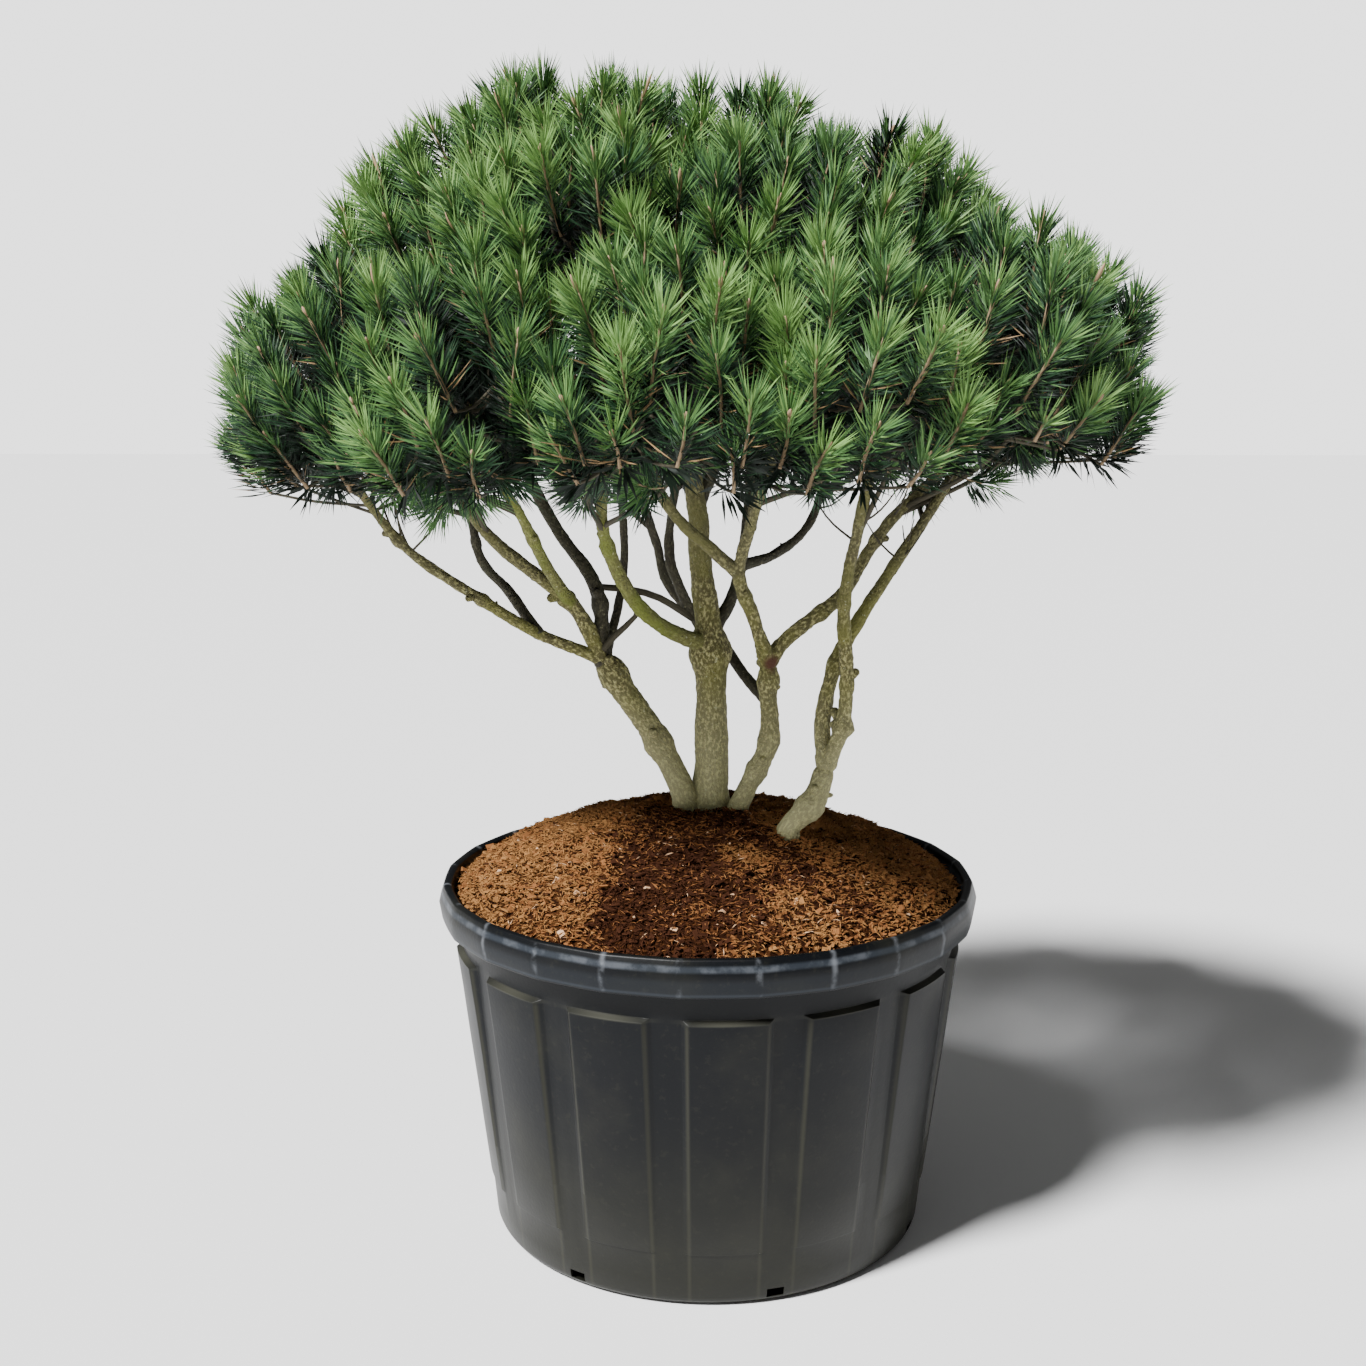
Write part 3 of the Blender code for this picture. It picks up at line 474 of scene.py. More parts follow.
FIRST_RAISE = 1.02
LEDGE_DROP = 0.004
pick_faces(on_panel)
bpy.ops.mesh.extrude_region_move(TRANSFORM_OT_translate={"value": (0.0, 0.0, 0.0)})
bpy.ops.transform.resize(value=(FIRST_RAISE, FIRST_RAISE, 1.0), center_override=(0.0, 0.0, 0.0))
for row in PANEL_ROWS:
    relief = RELIEF_FOOT + (RELIEF_TOP - RELIEF_FOOT) * (row - PANEL_FOOT) / (PANEL_TOP - PANEL_FOOT)
    pick_verts(lambda co: is_raised(co) and abs(co.z - row) < 0.001)
    share = (wall_radius(row) + relief) / (wall_radius(row) * FIRST_RAISE)
    bpy.ops.transform.resize(value=(share, share, 1.0), center_override=(0.0, 0.0, 0.0))
pick_verts(lambda co: is_raised(co) and abs(co.z - PANEL_TOP) < 0.001)
bpy.ops.transform.translate(value=(0.0, 0.0, -LEDGE_DROP))
end_edit()

# %% [markdown]
# The panels' side walls slant, so the mould lets go of them: the raised columns at either side are drawn
# in towards the middle of the panel. The lip of such a tub isn't quite round but has long flats with
# faint creases between them, and the whole moulding is a little wavy. These are small moves of points
# that are already there, so they are made in code.

# %% Slant the panels' sides, crease the lip
SIDE_SLANT = math.radians(1.5)
FLAT_COLUMNS = 7
LIP_FLATS = COLUMNS // FLAT_COLUMNS
LIP_FLATNESS = 0.6
TUB_WAVE = 0.0006


def turned(co, angle):
    """A point turned about the tub's axis."""
    x = co.x * math.cos(angle) - co.y * math.sin(angle)
    y = co.x * math.sin(angle) + co.y * math.cos(angle)
    return Vector((x, y, co.z))


for vert in tub.data.vertices:
    co = vert.co
    if is_raised(co):
        column = column_of(co.x, co.y)
        if min(column, PITCH_COLUMNS - column) < 0.3:
            vert.co = turned(co, SIDE_SLANT)
        elif abs(column - PANEL_COLUMNS) < 0.3:
            vert.co = turned(co, -SIDE_SLANT)
    radius = math.hypot(co.x, co.y)
    if co.z > LIP_FOOT - 0.002 and radius > LIP_MOUTH:
        flat_turn = (math.atan2(co.y, co.x) - TUB_START) % (math.tau / LIP_FLATS) - math.pi / LIP_FLATS
        flat = math.cos(math.pi / LIP_FLATS) / math.cos(flat_turn)
        share = 1.0 + (flat - 1.0) * LIP_FLATNESS
        vert.co = Vector((co.x * share, co.y * share, co.z))
    elif 0.02 < co.z:
        share = 1.0 + noise.noise(co * 9.0) * TUB_WAVE / radius
        vert.co = Vector((vert.co.x * share, vert.co.y * share, co.z))

# %% Soften the edges, cut the drain holes
DRAIN_SIZE = (0.03, 0.026, 0.014)
DRAIN_RISE = 0.016


def apply_modifier(obj, kind, **settings):
    """Adds a modifier, sets it and applies it at once."""
    bpy.ops.object.select_all(action="DESELECT")
    obj.select_set(True)
    bpy.context.view_layer.objects.active = obj
    modifier = obj.modifiers.new(kind.lower(), kind)
    for key, value in settings.items():
        setattr(modifier, key, value)
    bpy.ops.object.modifier_apply(modifier=modifier.name)


apply_modifier(tub, "BEVEL", width=0.0016, segments=2, limit_method="ANGLE", angle_limit=math.radians(24.0))
for index in range(0, PANELS, 2):
    turn = TUB_START + (index * PITCH_COLUMNS + (PANEL_COLUMNS + PITCH_COLUMNS) / 2.0) * COLUMN_TURN
    place = (wall_radius(DRAIN_RISE) * math.cos(turn), wall_radius(DRAIN_RISE) * math.sin(turn), DRAIN_RISE)
    bpy.ops.object.select_all(action="DESELECT")
    bpy.ops.mesh.primitive_cube_add(size=1.0, location=place, rotation=(0.0, 0.0, turn), scale=DRAIN_SIZE)
    cutter = bpy.context.object
    apply_modifier(tub, "BOOLEAN", operation="DIFFERENCE", solver="EXACT", object=cutter)
    bpy.data.objects.remove(cutter, do_unlink=True)
bpy.ops.object.select_all(action="DESELECT")
tub.select_set(True)
bpy.context.view_layer.objects.active = tub
bpy.ops.object.shade_smooth_by_angle(angle=math.radians(30.0))
print("tub", len(tub.data.polygons), "faces,", [round(v, 3) for v in tub.dimensions])

# %% [markdown]
# The plastic is charcoal with a satin skin. Where it was handled and rained on it is dusty: an olive-grey
# film lies on the wall, thicker towards the foot. The panels' edges carry a paler line of wear and
# painted highlight, and their top ledges dust with a painted highlight. Those lines have a place, so the
# node group that draws them works out the column from the angle round the tub, the way the mesh was laid
# out. The band under the lip is painted nearly black as the lip's shadow. The lip's face, crest and lower
# edge carry scuff with painted sheen, and in patches its crest and creases have a bluish painted highlight.

# %% Lines round the tub
# Lines at given columns round the tub, for the panels' edges, the lip's creases and the ledges: wear and
# painted highlight.
worn_lines = new_group("worn_lines", [("Pitch", 1.0), ("Place", 0.0), ("Width", 0.1)], ["Mask"])
tree = worn_lines
group_in = add_node(tree, "NodeGroupInput")
group_out = add_node(tree, "NodeGroupOutput")
coordinates = add_node(tree, "ShaderNodeTexCoord")
parts = add_node(tree, "ShaderNodeSeparateXYZ")
angle = add_node(tree, "ShaderNodeMath", operation="ARCTAN2")
column = add_node(tree, "ShaderNodeMath", operation="MULTIPLY_ADD")
column.inputs[1].default_value = 1.0 / COLUMN_TURN
column.inputs[2].default_value = -TUB_START / COLUMN_TURN + COLUMNS
from_place = add_node(tree, "ShaderNodeMath", operation="SUBTRACT")
away = add_node(tree, "ShaderNodeMath", operation="PINGPONG")
half = add_node(tree, "ShaderNodeMath", operation="MULTIPLY")
half.inputs[1].default_value = 0.5
line = add_node(tree, "ShaderNodeMapRange", interpolation_type="SMOOTHSTEP")
line.inputs["To Min"].default_value = 1.0
line.inputs["To Max"].default_value = 0.0
tree.links.new(coordinates.outputs["Object"], parts.inputs["Vector"])
tree.links.new(parts.outputs["Y"], angle.inputs[0])
tree.links.new(parts.outputs["X"], angle.inputs[1])
tree.links.new(angle.outputs[0], column.inputs[0])
tree.links.new(column.outputs[0], from_place.inputs[0])
tree.links.new(group_in.outputs["Place"], from_place.inputs[1])
tree.links.new(group_in.outputs["Pitch"], half.inputs[0])
tree.links.new(from_place.outputs[0], away.inputs[0])
tree.links.new(half.outputs[0], away.inputs[1])
tree.links.new(away.outputs[0], line.inputs["Value"])
tree.links.new(group_in.outputs["Width"], line.inputs["From Max"])
tree.links.new(line.outputs["Result"], group_out.inputs["Mask"])
print("worn lines every", PITCH_COLUMNS, "columns on the wall and every", FLAT_COLUMNS, "on the lip")

# %% Finish of the tub
# Of these colours, the charcoal and the dust are the plastic's own. The ledge colour is dust with a painted
# highlight, the lip colour scuff with painted sheen, the glint a painted highlight, and the band's colour
# painted shadow.
CHARCOAL = (0.0016, 0.0022, 0.0032)
DUST = (0.026, 0.0255, 0.017)
LEDGE_DUST_AND_HIGHLIGHT = (0.034, 0.034, 0.026)
LIP_SCUFF_AND_SHEEN = (0.045, 0.055, 0.070)
PAINTED_GLINT = (0.230, 0.245, 0.270)
PAINTED_LIP_SHADOW = (0.0006, 0.0011, 0.0020)
LEDGE = PANEL_TOP - LEDGE_DROP

tub_plastic = plain_material("tub_plastic", CHARCOAL, 0.42)
set_shine(tub_plastic, 0.17)
film = add_group(tub_plastic, blotches, Size=0.13, Cover=0.58, Softness=0.30)
speckle = add_group(tub_plastic, blotches, Size=0.010, Cover=0.44, Softness=0.12)
# Patches where the painted highlights on the lip's crest and creases fall.
glint_patches = add_group(tub_plastic, blotches, Size=0.045, Cover=0.58, Softness=0.20)
low_film = height_mask(tub_plastic, 0.36, 0.0)
on_lip = height_mask(tub_plastic, LIP_FOOT, LIP_FOOT + 0.006)
on_wall = height_mask(tub_plastic, PANEL_TOP + 0.001, PANEL_TOP - 0.012)
left_edges = add_group(tub_plastic, worn_lines, Pitch=PITCH_COLUMNS, Place=0.55, Width=0.35)
right_edges = add_group(tub_plastic, worn_lines, Pitch=PITCH_COLUMNS, Place=PANEL_COLUMNS - 0.55, Width=0.35)
creases = add_group(tub_plastic, worn_lines, Pitch=FLAT_COLUMNS, Place=0.0, Width=0.45)
# Painted highlight: bluish glints on the lip's creases, in patches.
crease_glint = times(tub_plastic, times(tub_plastic, creases.outputs["Mask"], on_lip), glint_patches.outputs["Mask"])
# The panels' top ledges: dust with a painted highlight, lighter than the shade they lie in.
panel_middle = add_group(tub_plastic, worn_lines, Pitch=PITCH_COLUMNS, Place=PANEL_COLUMNS / 2.0, Width=6.5)
under_ledge = height_mask(tub_plastic, LEDGE - 0.003, LEDGE)
over_ledge = height_mask(tub_plastic, PANEL_TOP + 0.002, PANEL_TOP - 0.001)
ledge = times(tub_plastic, times(tub_plastic, under_ledge, over_ledge), panel_middle.outputs["Mask"])
# Painted shade: the band under the lip is painted nearly black for the lip's shadow.
over_panels = height_mask(tub_plastic, PANEL_TOP, PANEL_TOP + 0.010)
under_lip = height_mask(tub_plastic, LIP_FOOT + 0.002, LIP_FOOT)
lip_shadow_band = times(tub_plastic, over_panels, under_lip)
# Scuff with painted sheen and highlight on the lip: a lighter face, a bright line at the crest and one at the
# lower edge.
under_crest = height_mask(tub_plastic, TUB_HEIGHT - 0.020, TUB_HEIGHT - 0.015)
over_crest = height_mask(tub_plastic, TUB_HEIGHT - 0.007, TUB_HEIGHT - 0.012)
crest = times(tub_plastic, under_crest, over_crest)
# Painted highlight: bluish glints on the lip's crest, in patches.
crest_glint = times(tub_plastic, crest, glint_patches.outputs["Mask"])
lip_face = times(tub_plastic, height_mask(tub_plastic, TUB_HEIGHT - 0.024, TUB_HEIGHT - 0.034), on_lip)
lip_edge = times(tub_plastic, height_mask(tub_plastic, LIP_FOOT + 0.008, LIP_FOOT + 0.002), on_lip)
# Wear with a painted highlight along both side edges of each panel.
left_edge_wear_and_highlight = times(tub_plastic, left_edges.outputs["Mask"], on_wall)
right_edge_wear_and_highlight = times(tub_plastic, right_edges.outputs["Mask"], on_wall)
TUB_LAYERS = [
    (DUST, film.outputs["Mask"], 0.22), (DUST, low_film, 0.40), (DUST, speckle.outputs["Mask"], 0.16),
    (DUST, left_edge_wear_and_highlight, 0.6), (DUST, right_edge_wear_and_highlight, 0.6), (PAINTED_LIP_SHADOW, lip_shadow_band, 0.75), (LEDGE_DUST_AND_HIGHLIGHT, ledge, 1.0),
    (LIP_SCUFF_AND_SHEEN, lip_face, 0.10), (LIP_SCUFF_AND_SHEEN, crest, 0.36), (LIP_SCUFF_AND_SHEEN, lip_edge, 0.50),
    (PAINTED_GLINT, crease_glint, 0.35), (PAINTED_GLINT, crest_glint, 0.20),
]
colour = CHARCOAL
for above, mask, share in TUB_LAYERS:
    colour = layer(tub_plastic, colour, above, mask, share)
set_colour(tub_plastic, colour)
tub_grain = add_group(tub_plastic, grain, Size=0.006)
add_bump(tub_plastic, tub_grain.outputs["Height"], 0.0006, 0.35)
tub.data.materials.append(tub_plastic)
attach(tub, "root")
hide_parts("pot")

# %% [markdown]
# ## The mulch
#
# The tub is heaped with composted bark: a low mound of crumbs, splinters and fibres, golden where it is
# dry, and dark red-brown where it is damp. The bed is a rippled surface made ring by ring like
# the tub, then roughened by two Displace modifiers. Thousands of bark crumbs are scattered on it.

# %% The bed
MOUND = [
    (0.384, 0.535), (0.360, 0.556), (0.315, 0.581), (0.245, 0.610),
    (0.165, 0.634), (0.085, 0.655), (0.0, 0.656),
]
BED_SEGMENTS = 180
BED_RINGS = 68
BED_SKIRT = 0.42
BED_SHOULDER = 0.50
BED_GAP = 0.001


def mound_height(radius):
    """The mound's smooth height at a distance from the middle."""
    for (outer, low), (inner, high) in zip(MOUND, MOUND[1:]):
        if radius >= inner:
            return low + (high - low) * (outer - radius) / (outer - inner)
    return MOUND[-1][1]


edge_radius = MOUND[0][0]
bed_profile = [(wall_radius(z) - TUB_WALL - BED_GAP, z) for z in (BED_SKIRT, BED_SHOULDER)]
for ring in range(BED_RINGS):
    ring_radius = edge_radius * (1.0 - ring / BED_RINGS)
    bed_profile.append((ring_radius, mound_height(ring_radius)))
bpy.ops.object.select_all(action="DESELECT")
bed_place = (0.0, 0.0, BED_SKIRT)
bpy.ops.mesh.primitive_circle_add(vertices=BED_SEGMENTS, radius=bed_profile[0][0], location=bed_place)
bed = bpy.context.object
bed.name = "mulch_bed"
bpy.ops.object.transform_apply(location=True, rotation=True, scale=True)
begin_edit()
bpy.ops.mesh.select_all(action="SELECT")
extrude_rings(bed_profile)
bpy.ops.mesh.edge_face_add()
cap_ring(*bed_profile[0])
bpy.ops.mesh.select_all(action="SELECT")
bpy.ops.mesh.normals_make_consistent(inside=False)
end_edit()

# %% Ripples and crumbs of the bed
for label, size, strength in (("heaps", 0.060, 0.014), ("crumbs", 0.011, 0.007)):
    texture = bpy.data.textures.new(label, "CLOUDS")
    texture.noise_scale = size
    texture.noise_depth = 3
    apply_modifier(bed, "DISPLACE", texture=texture, texture_coords="LOCAL",
                   direction="Z", strength=strength, mid_level=0.55)
bpy.ops.object.shade_smooth()
print("mulch bed", len(bed.data.polygons), "faces")

# %% Finish of the bed
DAMP_BARK = (0.014, 0.0045, 0.0016)
RUST_BARK = (0.058, 0.021, 0.0070)

mulch = plain_material("mulch", DAMP_BARK, 0.95)
set_shine(mulch, 0.05)
crumb = add_group(mulch, blotches, Size=0.006, Cover=0.52, Softness=0.12)
colour = mix_over(mulch, DAMP_BARK, RUST_BARK, crumb.outputs["Mask"])
set_colour(mulch, colour)
mulch_grain = add_group(mulch, grain, Size=0.003)
add_bump(mulch, mulch_grain.outputs["Height"], 0.002, 0.8)
bed.data.materials.append(mulch)
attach(bed, "root")
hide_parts("soil")

# %% [markdown]
# ### Scattered bark
#
# Every crumb is the same slab of eight corners, open where it lies on the bed, and every fibre the same
# sliver of four, but each gets its own size, turn and tilt. Arrays do that for thousands at once: one
# small shape is multiplied by a stack of rotations, and the results are joined into one mesh for each
# colour. Where the bark dried first it is golden: on the left, and in a strip along the right of the rim.
# On the right behind the middle it is golden too, partly as painted light against the crown's shadow
# there. In the middle and at the front it is damp and dark.

# %% Helpers for joined meshes
SLAB_CORNERS = np.array([
    (-0.5, -0.35, -0.5), (0.5, -0.5, -0.4), (0.42, 0.5, -0.5), (-0.5, 0.4, -0.45),
    (-0.4, -0.5, 0.3), (0.5, -0.32, 0.5), (0.46, 0.36, 0.4), (-0.45, 0.5, 0.5),
])
SLAB_FACES = np.array([(4, 5, 6, 7), (0, 1, 5, 4), (1, 2, 6, 5), (2, 3, 7, 6), (3, 0, 4, 7)])
SLIVER_CORNERS = np.array([(-0.5, 0.0, -0.5), (0.5, 0.0, -0.5), (-0.15, -0.5, 0.5), (0.1, 0.5, 0.5)])
SLIVER_FACES = np.array([(0, 1, 2), (0, 3, 1), (0, 2, 3), (1, 3, 2)])


def random_turns(count, tilt, rng):
    """A stack of rotation matrices: any turn about Z after a tilt of up to the given angle."""
    turn = rng.uniform(0.0, math.tau, count)
    lean = rng.uniform(-tilt, tilt, (count, 2))
    matrices = []
    for axis, angles in ((0, lean[:, 0]), (1, lean[:, 1]), (2, turn)):
        matrix = np.zeros((count, 3, 3))
        first, second = [(1, 2), (2, 0), (0, 1)][axis]
        matrix[:, axis, axis] = 1.0
        matrix[:, first, first] = np.cos(angles)
        matrix[:, second, second] = np.cos(angles)
        matrix[:, first, second] = -np.sin(angles)
        matrix[:, second, first] = np.sin(angles)
        matrices.append(matrix)
    return matrices[2] @ matrices[1] @ matrices[0]


def many_of(corners, sizes, tilt, rng):
    """One small shape in every size of a list, each with its own turn and tilt."""
    return (corners[None] * sizes[:, None]) @ random_turns(len(sizes), tilt, rng).transpose(0, 2, 1)


def joined_mesh(name, points, faces, material):
    """One piece from a stack of small shapes: points (count, corners, 3), the same faces for each."""
    count, corners = points.shape[:2]
    every_face = (faces[None] + (np.arange(count) * corners)[:, None, None]).reshape(-1, faces.shape[1])
    mesh = bpy.data.meshes.new(name)
    mesh.from_pydata(points.reshape(-1, 3), [], every_face)
    mesh.materials.append(material)
    piece = bpy.data.objects.new(name, mesh)
    bpy.context.scene.collection.objects.link(piece)
    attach(piece, "root")
    return piece


# %% Scatter the bark
BARK_COLOURS = {
    "golden": (0.256, 0.122, 0.042),
    "rust": (0.200, 0.082, 0.028),
    "damp": (0.036, 0.0118, 0.0045),
    "pale": (0.54, 0.34, 0.20),
}
GOLDEN_EDGE = (-0.19, -0.10)
RIM_STRIP = 0.335
CRUMBS = 9500
FIBRES = 23000
LEFT_DRYNESS = 0.95
# Partly painted light: the right is made more golden against the crown's shadow there.
RIGHT_DRYNESS_AND_LIGHT = 1.05
RIGHT_START = 0.05
RIGHT_FADE = 0.12
FRONT_DAMP = 0.85
FRONT_START = -0.04
FRONT_FADE = 0.16
RIM_DRYNESS = 14.0
FIBRE_DRYNESS = 0.68
GOLDEN_LEVEL = 0.85
RUST_LEVEL = 0.22
PALE_SHARE = 0.010
rng = np.random.default_rng(7)
bed_points = np.array([tuple(vert.co) for vert in bed.data.vertices if vert.co.z > 0.53])
bed_radius = np.hypot(bed_points[:, 0], bed_points[:, 1])
bed_chance = bed_radius / bed_radius.sum()


def scatter(count):
    """Random places on the bed, evenly over its area."""
    chosen = rng.choice(len(bed_points), count, p=bed_chance)
    spread = rng.uniform(-0.003, 0.003, (count, 3)) * (1.0, 1.0, 0.2)
    return bed_points[chosen] + spread


def patchiness(place):
    """Soft patches some ten centimetres wide, with smaller ones in them."""
    return noise.noise(Vector(place) * 11.0) + 0.5 * noise.noise(Vector(place) * 31.0)


def bark_tones(places, dryness):
    """The colour of each crumb or fibre by its place: a number to index BARK_COLOURS."""
    patch = np.array([patchiness(place) for place in places])
    x = places[:, 0] - 0.15 * places[:, 1] * (places[:, 1] < 0.0) + 0.08 * patch
    dry = dryness + 0.06 + 0.8 * patch + rng.normal(0.0, 0.34, len(places))
    dry += LEFT_DRYNESS * np.clip((GOLDEN_EDGE[1] - x) / (GOLDEN_EDGE[1] - GOLDEN_EDGE[0]), 0.0, 1.0)
    # Partly painted light: the right is made more golden against the crown's shadow there.
    dry += RIGHT_DRYNESS_AND_LIGHT * np.clip((x - RIGHT_START) / RIGHT_FADE, 0.0, 1.0)
    dry -= FRONT_DAMP * np.clip((FRONT_START - places[:, 1]) / FRONT_FADE, 0.0, 1.0) * (x > GOLDEN_EDGE[1])
    rim = np.clip(np.hypot(places[:, 0], places[:, 1]) - RIM_STRIP, 0.0, 0.05)
    dry += RIM_DRYNESS * rim * (places[:, 0] > RIGHT_START)
    tones = np.where(dry > GOLDEN_LEVEL, 0, np.where(dry > RUST_LEVEL, 1, 2))
    return np.where(rng.uniform(0.0, 1.0, len(places)) < PALE_SHARE, 3, tones)


crumb_places = scatter(CRUMBS)
crumb_tones = bark_tones(crumb_places, 0.0)
crumb_length = rng.gamma(4.0, 0.0016, CRUMBS) + 0.0028
crumb_width = crumb_length * rng.uniform(0.35, 0.8, CRUMBS)
crumb_height = rng.uniform(0.001, 0.004, CRUMBS)
crumb_size = np.stack([crumb_length, crumb_width, crumb_height], axis=1)
crumb_points = many_of(SLAB_CORNERS, crumb_size, 0.7, rng)
crumb_points += (crumb_places + (0.0, 0.0, 0.001))[:, None]
fibre_places = scatter(FIBRES)
fibre_tones = bark_tones(fibre_places, FIBRE_DRYNESS)
fibre_length = rng.uniform(0.007, 0.021, FIBRES)
fibre_width = rng.uniform(0.0010, 0.0022, FIBRES)
fibre_size = np.stack([fibre_length, fibre_width, fibre_width * 0.8], axis=1)
fibre_points = many_of(SLIVER_CORNERS, fibre_size, 0.5, rng)
fibre_points += (fibre_places + (0.0, 0.0, 0.0035))[:, None]
for tone, (label, colour) in enumerate(BARK_COLOURS.items()):
    material = plain_material(f"mulch_{label}", colour, 0.9)
    set_shine(material, 0.1)
    joined_mesh(f"crumbs_{label}", crumb_points[crumb_tones == tone], SLAB_FACES, material)
    joined_mesh(f"fibres_{label}", fibre_points[fibre_tones == tone], SLIVER_FACES, material)
    print(label, (crumb_tones == tone).sum(), "crumbs,", (fibre_tones == tone).sum(), "fibres")

# %% [markdown]
# ## Stems and boughs
#
# The trunk and three more stems rise from the mulch, and every bough branches from one of them. The limbs
# follow the same rule as the CAD model: a smooth curve through a few bends, tapering from foot to tip,
# swollen at its collar and at its knobs. Here they are read every few millimetres, go on into the crown
# as far as their mass of needles, and carry the bark's relief. That is an array job too, because the
# relief has to follow each limb round and along.

